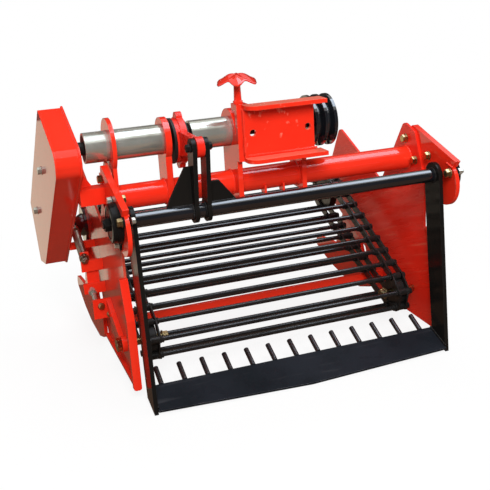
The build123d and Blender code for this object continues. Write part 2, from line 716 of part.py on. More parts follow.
# The stub axle sits in a slide on the outside of the side plate, held by a nut.
slide_thickness = 10.0
slide_front = -6.0
slide_rear = 124.0
slide_low = -22.0
slide_high = -4.0
slide_eye_radius = 16.0
stub_nut_thickness = 10.0
tension_out = 46.0           # how far the tensioner stands out from the side plate
tension_outer_x = side_outer_x + tension_out
stub_outer_x = side_outer_x + slide_thickness + stub_nut_thickness
slide_face = outline([beside_run(slide_front, slide_low), beside_run(slide_rear, slide_low),
                      beside_run(slide_rear, slide_high), beside_run(slide_front, slide_high)])
slide_face += disc(front_wheel_y, front_wheel_z, slide_eye_radius)
slide_face -= disc(front_wheel_y, front_wheel_z, stub_diameter / 2)
slide = side_slab(slide_face, side_outer_x, side_outer_x + slide_thickness)

# The slide ends in a lug that stands square to it, in front of the tension screw.
lug_y, lug_z = beside_run(slide_rear, (slide_low + slide_high) / 2)
lug_thickness = 6.0
lug_inset = 8.0
lug_height = (lug_z - 33.0, lug_z + 9.0)
slide += block((side_outer_x, tension_outer_x - lug_inset),
               (lug_y - lug_thickness / 2, lug_y + lug_thickness / 2), lug_height)
as_pair("chain_slides", slide)
stub = bar_x(front_wheel_y, front_wheel_z, stub_diameter, stub_inner_x, stub_outer_x)
stub += hexagon_x(front_wheel_y, front_wheel_z, nut_across_flats, side_outer_x + slide_thickness,
                  stub_outer_x)
as_pair("stub_axles", stub)

sprocket_radius = rear_radius + 4.0
sprocket_face = disc(rear_axle_y, rear_axle_z, sprocket_radius)
pocket_radius = rod_diameter / 2 + wheel_clearance
for y, z in rod_points:
    if math.hypot(y - rear_axle_y, z - rear_axle_z) < sprocket_radius + pocket_radius:
        sprocket_face -= disc(y, z, pocket_radius)
sprocket_face -= disc(rear_axle_y, rear_axle_z, rear_axle_diameter / 2)
as_pair("sprockets", side_slab(sprocket_face, wheel_x_from, wheel_x_to))
rear_axle_right_x = side_outer_x + 30.0
parts["rear_axle"] = bar_x(rear_axle_y, rear_axle_z, rear_axle_diameter,
                           case_inner_x - case_wall - end_inside_case, rear_axle_right_x)

# Each end of the rear axle turns in a flanged bearing with a domed cap.
axle_flange_radius = 40.0
axle_flange_thickness = 6.0
axle_dome_radius = 27.0
dome = Pos(side_outer_x, rear_axle_y, rear_axle_z) * Sphere(axle_dome_radius)
dome_cut = block((side_outer_x - axle_dome_radius, side_outer_x),
                 (rear_axle_y - axle_dome_radius, rear_axle_y + axle_dome_radius),
                 (rear_axle_z - axle_dome_radius, rear_axle_z + axle_dome_radius))
axle_bearing = bar_x(rear_axle_y, rear_axle_z, 2 * axle_flange_radius, side_outer_x,
                     side_outer_x + axle_flange_thickness)
axle_bearing += dome - dome_cut
axle_bearing -= bar_x(rear_axle_y, rear_axle_z, rear_axle_diameter, side_outer_x, rear_axle_right_x)
as_pair("axle_bearings", axle_bearing)

# ---- Rear skids -----------------------------------------------------------------------------

skid_thickness = 8.0
skid_tip_low = (690.0, 44.0)
skid_tip_high = (676.0, 68.0)
skid_front = (357.0, 74.0)
skid_toe = (362.0, 22.0)
skid_flat_front = (430.0, 0.0)
skid_flat_rear = (520.0, 0.0)
skid_heel = (600.0, 14.0)
skid_tail_top = (620.0, 74.0)
skid_knee = (560.0, 78.0)
skid_arm_rear = beside_run(350.0, band_bottom + 24.0)
skid_arm_front = beside_run(286.0, band_bottom + 24.0)
skid_arm_root = (410.0, 96.0)
skid_tip_radius = 10.0
skid_arm_radius = 12.0
skid_toe_radius = 18.0
skid_face = outline([skid_front, skid_toe, skid_flat_front, skid_flat_rear, skid_heel, skid_tip_low,
                     skid_tip_high, skid_tail_top, skid_knee, skid_arm_rear, skid_arm_front,
                     skid_arm_root])
skid_face = rounded(skid_face, [skid_tip_low, skid_tip_high], skid_tip_radius)
skid_face = rounded(skid_face, [skid_arm_rear, skid_arm_front], skid_arm_radius)
skid_face = rounded(skid_face, [skid_front, skid_toe], skid_toe_radius)
both_sides("rear_skid", side_slab(skid_face, side_outer_x, side_outer_x + skid_thickness))

# ---- Lock screw -----------------------------------------------------------------------------

lock_x = -66.0
lock_y = 146.0
lock_boss_low_z = bracket_high_z - 12.0
lock_rod_diameter = 14.0
lock_top_z = 577.0
lock_cap_radius = 38.0
lock_cap_height = 18.0
lock_boss_margin = 14.0
lock_boss = block((bracket_left_x, lock_x + lock_boss_margin), (web_back_y, lock_y + lock_boss_margin),
                  (lock_boss_low_z, bracket_high_z))
lock_boss += block((hitch_post_x, bracket_left_x), (hitch_post_front_y, lock_y + lock_boss_margin),
                   (lock_boss_low_z, bracket_high_z))
parts["lock_boss"] = lock_boss
lock = Pos(lock_x, lock_y, bracket_high_z) * Cylinder(
    lock_rod_diameter / 2, lock_top_z - bracket_high_z, align=(Align.CENTER, Align.CENTER, Align.MIN))
lobe_count = 6
lobe_radius = 13.0
lobe_distance = lock_cap_radius - lobe_radius
knob_middle_radius = 25.0


def knob_disc(x, y, radius):
    """One round part of the hand knob."""
    return Pos(x, y, lock_top_z) * Cylinder(radius, lock_cap_height,
                                            align=(Align.CENTER, Align.CENTER, Align.MIN))


knob = knob_disc(lock_x, lock_y, knob_middle_radius)
for index in range(lobe_count):
    lobe_angle = 2 * math.pi * index / lobe_count
    knob += knob_disc(lock_x + lobe_distance * math.cos(lobe_angle),
                      lock_y + lobe_distance * math.sin(lobe_angle), lobe_radius)
parts["lock_screw"] = lock + knob

# ---- Chain tensioners, outside each side plate -----------------------------------------------

# A bracket of two straps, a back plate and an ear holds the screw that pushes the stub axle's slide.
tension_y = 330.0
strap_thickness = 6.0
low_strap = (141.0, 164.0)   # bottom and top
high_strap = (191.0, 215.0)
back_plate_inset = 10.0
ear_width = 18.0
ear_top_z = 234.0
tension_front_y = tension_y - strap_thickness / 2
tension_rear_y = tension_y + strap_thickness / 2
bracket_piece = block((side_outer_x, tension_outer_x), (tension_front_y, tension_rear_y), low_strap)
bracket_piece += block((side_outer_x, tension_outer_x), (tension_front_y, tension_rear_y), high_strap)
bracket_piece += block((tension_outer_x - ear_width, tension_outer_x), (tension_front_y, tension_rear_y),
                       (high_strap[1], ear_top_z))
bracket_piece += block((side_outer_x + back_plate_inset, tension_outer_x - back_plate_inset),
                       (tension_rear_y, tension_rear_y + strap_thickness), (low_strap[0], high_strap[1]))


def along_run(piece, x, y, z):
    """Turns a piece made along Z to lie along the conveyor, with its zero point at (x, y, z)."""
    return Pos(x, y, z) * Rot(math.degrees(run_angle) - 90.0, 0, 0) * piece


def rod_z(diameter, z_from, z_to):
    """A round bar along Z, before it is turned."""
    return Pos(0, 0, z_from) * Cylinder(diameter / 2, z_to - z_from,
                                        align=(Align.CENTER, Align.CENTER, Align.MIN))


def nut_z(across_flats, z_from, z_to):
    """A hexagonal nut along Z, before it is turned."""
    hexagon = RegularPolygon(across_flats / 2, 6, major_radius=False)
    return Pos(0, 0, z_from) * extrude(hexagon, amount=z_to - z_from)


screw_hole_clearance = 0.2
screw_x = tension_outer_x - 16.0
screw_z = (low_strap[0] + low_strap[1]) / 2
screw_diameter = 9.0
screw_front = -42.0          # along the screw, from the strap's middle
screw_rear = 22.0
screw_nut_flats = 15.0
screw_nut_gap = 7.5          # from the strap's middle to a nut's face
screw_nut_thickness = 8.0
screw_hole = rod_z(screw_diameter + 2 * screw_hole_clearance, screw_front, screw_rear)
bracket_piece -= along_run(screw_hole, screw_x, tension_y, screw_z)
screw = rod_z(screw_diameter, screw_front, screw_rear)
screw += nut_z(screw_nut_flats, -screw_nut_gap - screw_nut_thickness, -screw_nut_gap)
as_pair("tension_screws", along_run(screw, screw_x, tension_y, screw_z))

# On the left a long bolt with a close-wound spring keeps the chain in the case tight.
spring_x = tension_outer_x - 8.0
spring_z = 223.0
spring_diameter = 16.5
spring_bolt_diameter = 8.0
spring_from = 9.0
spring_to = 118.0
spring_bolt_front = -16.0
spring_bolt_rear = 126.0
spring_nut_flats = 13.0
spring_nut_front = -14.0
spring_nut_rear = -6.5
spring_hole = rod_z(spring_bolt_diameter + 2 * screw_hole_clearance, spring_bolt_front, spring_bolt_rear)
bracket_piece -= along_run(spring_hole, spring_x, tension_y, spring_z)
spring = rod_z(spring_diameter, spring_from, spring_to)
spring += rod_z(spring_bolt_diameter, spring_bolt_front, spring_bolt_rear)
spring += nut_z(spring_nut_flats, spring_nut_front, spring_nut_rear)
parts["tension_spring"] = along_run(spring, -spring_x, tension_y, spring_z)
as_pair("tension_brackets", bracket_piece)

# ---- Placing the origin and writing the pieces -------------------------------------------------

boxes = [piece.bounding_box() for piece in parts.values()]
middle_x = (min(box.min.X for box in boxes) + max(box.max.X for box in boxes)) / 2
middle_y = (min(box.min.Y for box in boxes) + max(box.max.Y for box in boxes)) / 2
print("origin at", round(middle_x, 4), round(middle_y, 4))

os.makedirs("parts", exist_ok=True)
for name, piece in parts.items():
    export_step(Pos(-middle_x, -middle_y, 0) * piece, "parts/" + name + ".step")
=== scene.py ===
# %% [markdown]
# # A potato digger in Blender
# The machine has a swinging black shovel in front, a rod conveyor that slopes up behind it, and a
# red welded frame with a belt pulley, a chain case and a hand knob on top. The sized model comes
# from CAD. Blender gives it paint, plating, rubber and oil, and the small things that make steel
# work look real: bolts, weld beads, chain links, a coil spring and a pressed hand knob.

# %% Load the frame
import math
import bmesh
import bpy
from mathutils import Matrix, Vector


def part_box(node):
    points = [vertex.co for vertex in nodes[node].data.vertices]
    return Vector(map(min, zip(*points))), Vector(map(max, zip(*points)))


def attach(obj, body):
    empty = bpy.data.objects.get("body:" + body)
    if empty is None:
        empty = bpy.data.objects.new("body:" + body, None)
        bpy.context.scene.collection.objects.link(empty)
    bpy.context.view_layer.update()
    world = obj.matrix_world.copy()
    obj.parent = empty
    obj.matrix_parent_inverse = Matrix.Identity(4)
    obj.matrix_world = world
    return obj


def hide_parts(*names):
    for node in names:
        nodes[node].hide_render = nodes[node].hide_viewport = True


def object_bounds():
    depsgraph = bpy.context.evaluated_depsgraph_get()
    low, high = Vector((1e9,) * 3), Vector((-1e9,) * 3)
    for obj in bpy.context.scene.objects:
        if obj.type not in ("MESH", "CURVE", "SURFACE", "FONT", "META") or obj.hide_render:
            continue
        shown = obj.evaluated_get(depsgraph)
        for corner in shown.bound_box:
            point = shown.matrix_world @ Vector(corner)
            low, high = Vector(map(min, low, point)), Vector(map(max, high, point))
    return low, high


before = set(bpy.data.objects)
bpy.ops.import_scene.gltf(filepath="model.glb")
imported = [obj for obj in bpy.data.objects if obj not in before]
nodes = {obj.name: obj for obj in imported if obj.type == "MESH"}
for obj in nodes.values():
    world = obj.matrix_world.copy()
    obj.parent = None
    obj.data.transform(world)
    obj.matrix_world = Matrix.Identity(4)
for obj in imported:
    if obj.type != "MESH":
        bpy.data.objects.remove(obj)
cad_low, cad_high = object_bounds()
print("the frame has", len(nodes), "pieces,", [round(v, 3) for v in cad_high - cad_low], "m")

# %% [markdown]
# Every new piece is placed from the boxes of the CAD pieces it sits on. The machine was drawn about
# a few lines: the shovel's pivot, the main beam and the conveyor's two axles, so their middles are
# read once and used everywhere. `at` gives a point from the mid width, the shovel's front corners
# and the ground, in millimetres, because that is how a fitter would measure the machine.

# %% Landmarks


def centre(node):
    """The middle of a CAD node's box."""
    low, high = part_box(node)
    return (low + high) / 2


pivot, beam = centre("pivot_tube"), centre("main_beam")
front_wheel, rear_axle = centre("front_wheels"), centre("sprockets")
mid_x, corner_y = pivot.x, pivot.y - 0.060


def at(x, y, z):
    """A point in the frame from millimetres off mid width, the shovel's corners and the ground."""
    return Vector((mid_x + x / 1000, corner_y + y / 1000, z / 1000))


def face_x(node, side):
    """How far a node's outer (1) or inner (-1) face is from mid width, in millimetres."""
    low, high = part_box(node)
    return ((high.x if side > 0 else low.x) - mid_x) * 1000


front_wheel_yz = ((front_wheel.y - corner_y) * 1000, front_wheel.z * 1000)
side_in, side_out = face_x("side_plate_right", -1), face_x("side_plate_right", 1)
end_out, arm_in = face_x("end_plate_right", 1), face_x("arm_right", -1)
print("side plates", round(side_in, 1), "to", round(side_out, 1), "mm off mid width")

# %% [markdown]
# The camera stands ahead of the shovel, to the left and above the machine, about one and a half
# metres off. Its three axes are worked out from a heading, a tilt down and a slight roll, because
# a camera looks along its own -Z with +Y up. A lens of 66 mm keeps the perspective natural.

# %% Camera
heading, tilt_down, roll = math.radians(19.08), math.radians(17.75), math.radians(3.43)
forward = Vector((math.sin(heading) * math.cos(tilt_down), math.cos(heading) * math.cos(tilt_down),
                  -math.sin(tilt_down)))
right = Vector((math.cos(heading), -math.sin(heading), 0))
up = right.cross(forward)
camera_x = right * math.cos(roll) - up * math.sin(roll)
camera_y = right * math.sin(roll) + up * math.cos(roll)
camera_place = at(-630.3, -1477.2, 803.6)
camera = bpy.data.objects.new("camera", bpy.data.cameras.new("camera"))
bpy.context.scene.collection.objects.link(camera)
axes = Matrix((camera_x, camera_y, -forward)).transposed().to_4x4()
camera.matrix_world = Matrix.Translation(camera_place) @ axes
camera.data.lens = 66.23
camera.data.sensor_width = 36.0
bpy.context.scene.camera = camera
print("camera at", [round(v, 3) for v in camera.location])

# %% [markdown]
# Worlds, floors, paints and trees are all made of nodes, and adding them one line at a time hides
# what they do. `add_node` sets a node's own options first, because some of them change its inputs,
# and then gives each named input a value or a link. Two more helpers do arithmetic and mix colours.

# %% Node helpers


def feed(tree, node, inputs):
    """Gives a node's named inputs a value or a link."""
    for label, value in inputs.items():
        if isinstance(value, bpy.types.NodeSocket):
            tree.links.new(value, node.inputs[label])
        else:
            node.inputs[label].default_value = value


def add_node(tree, kind, inputs=None, **options):
    """Adds a node with its options set and its inputs fed."""
    node = tree.nodes.new(kind)
    for label, value in options.items():
        setattr(node, label, value)
    feed(tree, node, inputs or {})
    return node


def reckon(tree, operation, *values):
    """One step of arithmetic on numbers or sockets."""
    return add_node(tree, "ShaderNodeMath", dict(enumerate(values)), operation=operation).outputs[0]


def mix_colours(tree, factor, *colours):
    """Mixes two colours, each a tuple or a socket."""
    mixer = add_node(tree, "ShaderNodeMix", {"Factor": factor}, data_type="RGBA")
    colour_inputs = [socket for socket in mixer.inputs if socket.type == "RGBA"]
    for socket, colour in zip(colour_inputs, colours):
        if isinstance(colour, tuple):
            socket.default_value = (*colour, 1)
        else:
            tree.links.new(colour, socket)
    return next(socket for socket in mixer.outputs if socket.type == "RGBA")


print("four node helpers ready")

# %% [markdown]
# Gloss paint and bright plating show what stands around them, so the room matters as much as the
# lamps. The world is plain white to the camera and in reflections, and a weaker, even grey for the
# light that falls on the machine. Four soft lamps then shape it: a strong one high in front on the
# left, two weak ones from above, and one low behind. None of them shows in the gloss, because a
# lamp's square would burn out the colour of a flat panel.

# %% Light and room
scene = bpy.context.scene
scene.view_settings.view_transform = "Standard"
world = bpy.data.worlds.new("studio")
scene.world = world
world.use_nodes = True
sky = world.node_tree
sky.nodes.clear()
paths = add_node(sky, "ShaderNodeLightPath").outputs
lit = add_node(sky, "ShaderNodeBackground", {"Color": (1.0, 0.99, 0.97, 1), "Strength": 0.24})
seen = add_node(sky, "ShaderNodeBackground", {"Color": (1, 1, 1, 1), "Strength": 1.0})
seen_by = reckon(sky, "MAXIMUM", paths["Is Camera Ray"], paths["Is Glossy Ray"])
seen_by = reckon(sky, "MAXIMUM", seen_by, paths["Is Transmission Ray"])
both = add_node(sky, "ShaderNodeMixShader", {"Fac": seen_by, 1: lit.outputs[0], 2: seen.outputs[0]})
add_node(sky, "ShaderNodeOutputWorld", {"Surface": both.outputs[0]})
middle = (cad_low + cad_high) / 2


def soft_lamp(name, place, size, power, colour=(1, 1, 1)):
    """An area lamp that faces the machine and doesn't show in its gloss."""
    data = bpy.data.lights.new(name, "AREA")
    data.shape = "RECTANGLE"
    data.size, data.size_y = size
    data.energy = power
    data.color = colour
    lamp = bpy.data.objects.new(name, data)
    scene.collection.objects.link(lamp)
    lamp.location = place
    lamp.rotation_euler = (middle - Vector(place)).to_track_quat("-Z", "Y").to_euler()
    lamp.visible_glossy = False


soft_lamp("key", (-0.7, -2.7, 2.1), (1.4, 1.4), 112)
soft_lamp("top", (0.2, 0.9, 2.0), (2.2, 0.5), 10, (0.90, 0.95, 1.0))
soft_lamp("fill", (0.7, -0.6, 2.4), (2.0, 1.2), 8)
soft_lamp("back", (0.5, 2.8, 1.0), (1.4, 1.0), 48)

# %% [markdown]
# The floor is a pale sheet that keeps the machine's shadow. Near the machine it shows mostly its
# own light colour with the shadow in it, and further out it turns into the white of the room, so
# that no horizon shows. The light it throws back on the machine is taken down to a warm brown:
# a white floor this wide would wash out the undersides.

# %% Floor


def level(x0, x1, y0, y1, z):
    """The corners of a level sheet."""
    return [(x0, y0, z), (x1, y0, z), (x1, y1, z), (x0, y1, z)]


def stage_sheet(name, corners):
    """A flat sheet with an empty material, and the nodes of that material."""
    mesh = bpy.data.meshes.new(name)
    mesh.from_pydata(corners, [], [(0, 1, 2, 3)])
    sheet = bpy.data.objects.new(name, mesh)
    scene.collection.objects.link(sheet)
    material = bpy.data.materials.new(name)
    material.use_nodes = True
    material.node_tree.nodes.clear()
    mesh.materials.append(material)
    return sheet, material.node_tree


reach = 40.0
floor, pale = stage_sheet("floor", level(-reach, reach, -reach, reach, 0))
rays = add_node(pale, "ShaderNodeLightPath").outputs
place = add_node(pale, "ShaderNodeTexCoord").outputs["Object"]
thrown = mix_colours(pale, rays["Is Diffuse Ray"], (0.93, 0.93, 0.93), (0.30, 0.20, 0.15))
matt = add_node(pale, "ShaderNodeBsdfDiffuse", {"Color": thrown})
white = add_node(pale, "ShaderNodeEmission", {"Strength": 1.0})
away = add_node(pale, "ShaderNodeVectorMath", {0: place}, operation="LENGTH")
fade = add_node(pale, "ShaderNodeMapRange", {
    "Value": away.outputs["Value"], "From Min": 0.35, "From Max": 1.1, "To Min": 0.85,
    "To Max": 1.0})
seen_by = reckon(pale, "MAXIMUM", rays["Is Camera Ray"], rays["Is Glossy Ray"])
white_share = reckon(pale, "MULTIPLY", seen_by, fade.outputs["Result"])
both = add_node(pale, "ShaderNodeMixShader", {
    "Fac": white_share, 1: matt.outputs[0], 2: white.outputs[0]})
add_node(pale, "ShaderNodeOutputMaterial", {"Surface": both.outputs[0]})
print("floor", 2 * reach, "m wide")

# %% [markdown]
# Gloss paint seen at a flat angle is nearly a mirror, and in a white room it would turn pale. So
# coloured cards are put round the machine, as in any studio. A warm brown one and a tan one lie on
# the floor, a grey one stands in front and a dark one behind, and a small dark one hangs over the
# chain case. The bright one overhead gives the line of light along each round tube. They show in
# reflections only: the camera, the shadows and the diffuse light pass through them.

# %% Reflection cards


def upright(y, low, high):
    """The corners of a sheet ten metres wide that stands across the view."""
    return [(-5, y, low), (5, y, low), (5, y, high), (-5, y, high)]


cards = {
    "warm_card": (level(-5, 5, -5, 0.45, 0.003), (0.17, 0.10, 0.065)),
    "tan_card": (level(-5, 5, 0.45, 5, 0.003), (0.80, 0.68, 0.52)),
    "grey_card": (upright(-3.0, 0.01, 3.4), (0.06, 0.06, 0.065)),
    "back_card": (upright(3.2, 0.01, 4.0), (0.10, 0.08, 0.07)),
    "case_card": (level(-0.42, -0.06, 0.0, 0.60, 1.0), (0.12, 0.09, 0.07)),
    "sky_card": (level(0.10, 3.2, -1.2, 0.35, 2.4), (4.2, 4.8, 5.6)),
}
for name, (corners, colour) in cards.items():
    card, paint = stage_sheet(name, corners)
    glow = add_node(paint, "ShaderNodeEmission", {"Color": (*colour, 1)})
    add_node(paint, "ShaderNodeOutputMaterial", {"Surface": glow.outputs[0]})
    card.visible_camera = False
    card.visible_diffuse = False
    card.visible_shadow = False
print(len(cards), "cards")

# %% [markdown]
# Steel plate is never quite sharp at its edges: paint rounds them and they catch the light, and
# they are the first place to wear. A Bevel node gives a normal that turns round each edge without
# changing the mesh, and where that normal leaves the true one, there is an edge. Both come out of
# one small node group, which most finishes below use.

# %% Edge finder
edge_group = bpy.data.node_groups.new("edge_finder", "ShaderNodeTree")
for label, kind in (("Edge", "NodeSocketFloat"), ("Normal", "NodeSocketVector")):
    edge_group.interface.new_socket(label, in_out="OUTPUT", socket_type=kind)
rounded = add_node(edge_group, "ShaderNodeBevel", {"Radius": 0.0011}, samples=4).outputs["Normal"]
true_normal = add_node(edge_group, "ShaderNodeNewGeometry").outputs["True Normal"]
agree = add_node(edge_group, "ShaderNodeVectorMath", {0: rounded, 1: true_normal},
                 operation="DOT_PRODUCT")
spread = add_node(edge_group, "ShaderNodeMapRange", {
    "Value": agree.outputs["Value"], "From Min": 0.995, "From Max": 0.80})
add_node(edge_group, "NodeGroupOutput", {"Edge": spread.outputs["Result"], "Normal": rounded})
print("edge finder has", len(edge_group.nodes), "nodes")

# %% [markdown]
# All finishes share one recipe: a base colour that drifts a little from place to place, paler
# edges broken up by noise, a roughness that varies, and a fine bump. The paler edge colour is
# partly wear and partly a painted highlight. Some finishes also take a colour by how steeply a face
# slopes, which is painted light or shade. Sprayed enamel has a faint orange-peel waviness, so its
# bump is soft and a few millimetres wide. One function builds them all, and each finish below only
# chooses its numbers. Noise that is stretched along one axis, and turned about X to follow a slope,
# gives the marks of brushing, rolling or scraping.

# %% Finish builder


def finish(name, base, drift, edge, edge_share=0.6, rough=(0.15, 0.25), metallic=0.0, coat=0.0,
           bump=(900.0, 0.03), grain=None, specular=0.5, cloud=7.0, painted_slope_light=None, stretch=None,
           turn=0.0):
    """A procedural finish. `bump` is its scale and strength, `grain` a colour, scale, stretch and
    threshold, and the slope colour argument a colour, share and range of slopes, from level faces
    to steep ones, which paints light or shade on faces by how they slope."""
    material = bpy.data.materials.new(name)
    material.use_nodes = True
    tree = material.node_tree
    coordinates = add_node(tree, "ShaderNodeTexCoord").outputs

    def noise(scale, detail, squeeze=None):
        where = coordinates["Object"]
        if squeeze is not None:
            for setting, value in (("Rotation", (turn, 0, 0)), ("Scale", squeeze)):
                mapping = add_node(tree, "ShaderNodeMapping", {"Vector": where, setting: value})
                where = mapping.outputs["Vector"]
        return add_node(tree, "ShaderNodeTexNoise", {
            "Scale": scale, "Detail": detail, "Vector": where}).outputs["Fac"]

    def remap(value, low, high, to_low, to_high):
        return add_node(tree, "ShaderNodeMapRange", {
            "Value": value, "From Min": low, "From Max": high, "To Min": to_low,
            "To Max": to_high}).outputs["Result"]

    colour = mix_colours(tree, remap(noise(cloud, 4, stretch), 0.3, 0.7, 0, 1), base, drift)
    if grain is not None:
        grain_colour, grain_scale, grain_stretch, grain_low = grain
        streak = remap(noise(grain_scale, 3, grain_stretch), grain_low, grain_low + 0.16, 0, 1)
        colour = mix_colours(tree, streak, colour, grain_colour)
    # Painted light or shade: a colour laid on by how steeply each face slopes, not by any lamp.
    if painted_slope_light is not None:
        painted_light_colour, painted_light_share, slope_from, slope_to = painted_slope_light
        facing = add_node(tree, "ShaderNodeSeparateXYZ", {0: coordinates["Normal"]})
        painted_light_mask = remap(facing.outputs["Z"], slope_from, slope_to, 0, painted_light_share)
        colour = mix_colours(tree, painted_light_mask, colour, painted_light_colour)
    dents = {"Height": noise(bump[0], 2, stretch), "Strength": bump[1], "Distance": 0.001}
    # The paler edge colour is partly wear and partly a painted highlight.
    if edge is not None:
        edges = add_node(tree, "ShaderNodeGroup", node_tree=edge_group).outputs
        patchy = remap(noise(60.0, 5), 0.35, 0.65, 0.25 * edge_share, edge_share)
        colour = mix_colours(tree, reckon(tree, "MULTIPLY", edges["Edge"], patchy), colour, edge)
        dents["Normal"] = edges["Normal"]
    bumper = add_node(tree, "ShaderNodeBump", dents)
    feed(tree, tree.nodes["Principled BSDF"], {
        "Base Color": colour, "Roughness": remap(noise(35.0, 3, stretch), 0.3, 0.7, *rough),
        "Normal": bumper.outputs["Normal"], "Metallic": metallic, "Coat Weight": coat,
        "Coat Roughness": 0.04, "Specular IOR Level": specular})
    return material


print("finish builder ready")

# %% [markdown]
# The frame is sprayed in one bright red, but it doesn't look the same everywhere. The right side
# plate shows long soft strokes, and the left one is a darker red with tan patches, which is painted
# shade and a painted reflection. The bracket is scraped along its flanges, and its paler upward
# faces are a painted reflection. The casting is rough under its paint. Each gets its own mix of the
# same red.

# %% Red finishes
red = finish("red_enamel", (0.88, 0.034, 0.013), (0.80, 0.024, 0.009), (0.96, 0.16, 0.10),
             edge_share=0.35, rough=(0.06, 0.12), bump=(180.0, 0.02), specular=0.65)
pressed_red = finish("pressed_red", (0.78, 0.028, 0.011), (0.60, 0.018, 0.008), None,
                     rough=(0.06, 0.14), bump=(150.0, 0.02), specular=0.7)
sheet_red = finish("red_sheet", (0.95, 0.028, 0.012), (0.80, 0.018, 0.008), (0.95, 0.16, 0.10),
                   edge_share=0.45, rough=(0.22, 0.36), bump=(150.0, 0.05), specular=0.30,
                   stretch=(1.0, 0.20, 1.8), cloud=11.0, turn=math.radians(20.0),
                   grain=((0.92, 0.12, 0.065), 46.0, (1.0, 0.10, 2.2), 0.60))
# The left side plate is a darker red with tan patches: painted shade and a painted reflection.
red_painted_shade_and_reflection = finish("red_painted_shade_and_reflection", (0.58, 0.045, 0.025), (0.66, 0.10, 0.060), (0.92, 0.16, 0.10),
                   edge_share=0.45, rough=(0.10, 0.18), bump=(120.0, 0.02), cloud=5.0)
cover_red = finish("smooth_red", (0.84, 0.034, 0.012), (0.76, 0.030, 0.012), (0.90, 0.20, 0.14),
                   edge_share=0.35, rough=(0.06, 0.12), bump=(60.0, 0.008), specular=0.45,
                   cloud=3.0)
# The bracket's scratches are wear. Its upward faces are laid paler, a painted reflection, and its
# pale edges are partly wear and partly a painted highlight.
scraped_red_painted_reflection = finish("scraped_red_painted_reflection", (0.88, 0.034, 0.013), (0.78, 0.024, 0.009),
                     (0.97, 0.30, 0.20), edge_share=0.8, rough=(0.12, 0.24), bump=(120.0, 0.08),
                     specular=0.35, grain=((0.95, 0.26, 0.18), 75.0, (1.0, 1.0, 0.30), 0.635),
                     stretch=(1.0, 1.0, 1.0), turn=math.radians(35.0),
                     painted_slope_light=((0.94, 0.20, 0.13), 0.9, 0.3, 0.95))
cast_red = finish("red_casting", (0.82, 0.024, 0.010), (0.62, 0.012, 0.006), (0.9, 0.14, 0.09),
                  rough=(0.16, 0.30), bump=(420.0, 0.4), specular=0.4)
print(len(bpy.data.materials), "materials, stage and all")

# %% [markdown]
# The shovel's plates are black enamel with little gloss, its pivot tube is mirror black, and the
# blade is scuffed by the soil. The shaft's guards and the bolts are zinc plated, some clear and
# some yellow, and the chains and wheels are bare steel under a film of oil.

# %% Black, plated and oiled finishes
black = finish("black_enamel", (0.006, 0.006, 0.006), (0.010, 0.009, 0.008), (0.07, 0.07, 0.075),
               edge_share=0.5, rough=(0.12, 0.26), bump=(200.0, 0.05), specular=0.13)
tube_black = finish("deep_gloss_black", (0.004, 0.0045, 0.006), (0.008, 0.009, 0.012),
                    (0.10, 0.10, 0.11), edge_share=0.5, rough=(0.03, 0.07), bump=(160.0, 0.02),
                    specular=1.0, coat=0.7)
rod_black = finish("rod_black", (0.007, 0.007, 0.008), (0.014, 0.013, 0.013), (0.10, 0.10, 0.11),
                   edge_share=0.5, rough=(0.14, 0.24), bump=(300.0, 0.08), specular=0.7,
                   cloud=26.0)
blade_black = finish("scuffed_black", (0.008, 0.010, 0.013), (0.016, 0.018, 0.024),
                     (0.16, 0.16, 0.18), edge_share=0.9, rough=(0.22, 0.40), bump=(380.0, 0.10),
                     specular=0.04, grain=((0.030, 0.031, 0.036), 80.0, (0.12, 1.0, 1.0), 0.62))
# Zinc faces turned downwards go darker and browner, which is painted shade.
zinc = finish("bright_zinc", (0.74, 0.77, 0.71), (0.46, 0.46, 0.39), (0.85, 0.85, 0.83),
              rough=(0.14, 0.26), metallic=0.74, bump=(260.0, 0.04), cloud=14.0,
              grain=((0.36, 0.34, 0.28), 20.0, (0.28, 1.0, 1.0), 0.60),
              painted_slope_light=((0.34, 0.24, 0.15), 0.6, 0.15, -0.75))
gold = finish("yellow_zinc", (0.60, 0.42, 0.16), (0.42, 0.34, 0.20), (0.85, 0.76, 0.52),
              rough=(0.18, 0.34), metallic=1.0, bump=(700.0, 0.08), cloud=160.0)
dull_zinc = finish("dull_zinc", (0.52, 0.48, 0.38), (0.36, 0.33, 0.26), (0.70, 0.68, 0.60),
                   rough=(0.24, 0.40), metallic=1.0, bump=(500.0, 0.08), cloud=90.0)
oiled = finish("oiled_steel", (0.010, 0.010, 0.010), (0.022, 0.020, 0.019), (0.13, 0.12, 0.12),
               edge_share=0.7, rough=(0.20, 0.40), metallic=0.35, bump=(500.0, 0.12),
               cloud=30.0, specular=0.35)
rubber = finish("seal_black", (0.012, 0.012, 0.012), (0.020, 0.019, 0.018), (0.05, 0.05, 0.05),
                rough=(0.40, 0.60), bump=(900.0, 0.15), specular=0.3)
print(len(bpy.data.materials), "materials, stage and all")

# %% [markdown]
# The CAD pieces keep their meshes and only change their finish. The table goes by the start of each
# node's name, and whatever isn't in it is red enamel, as most of the machine is.

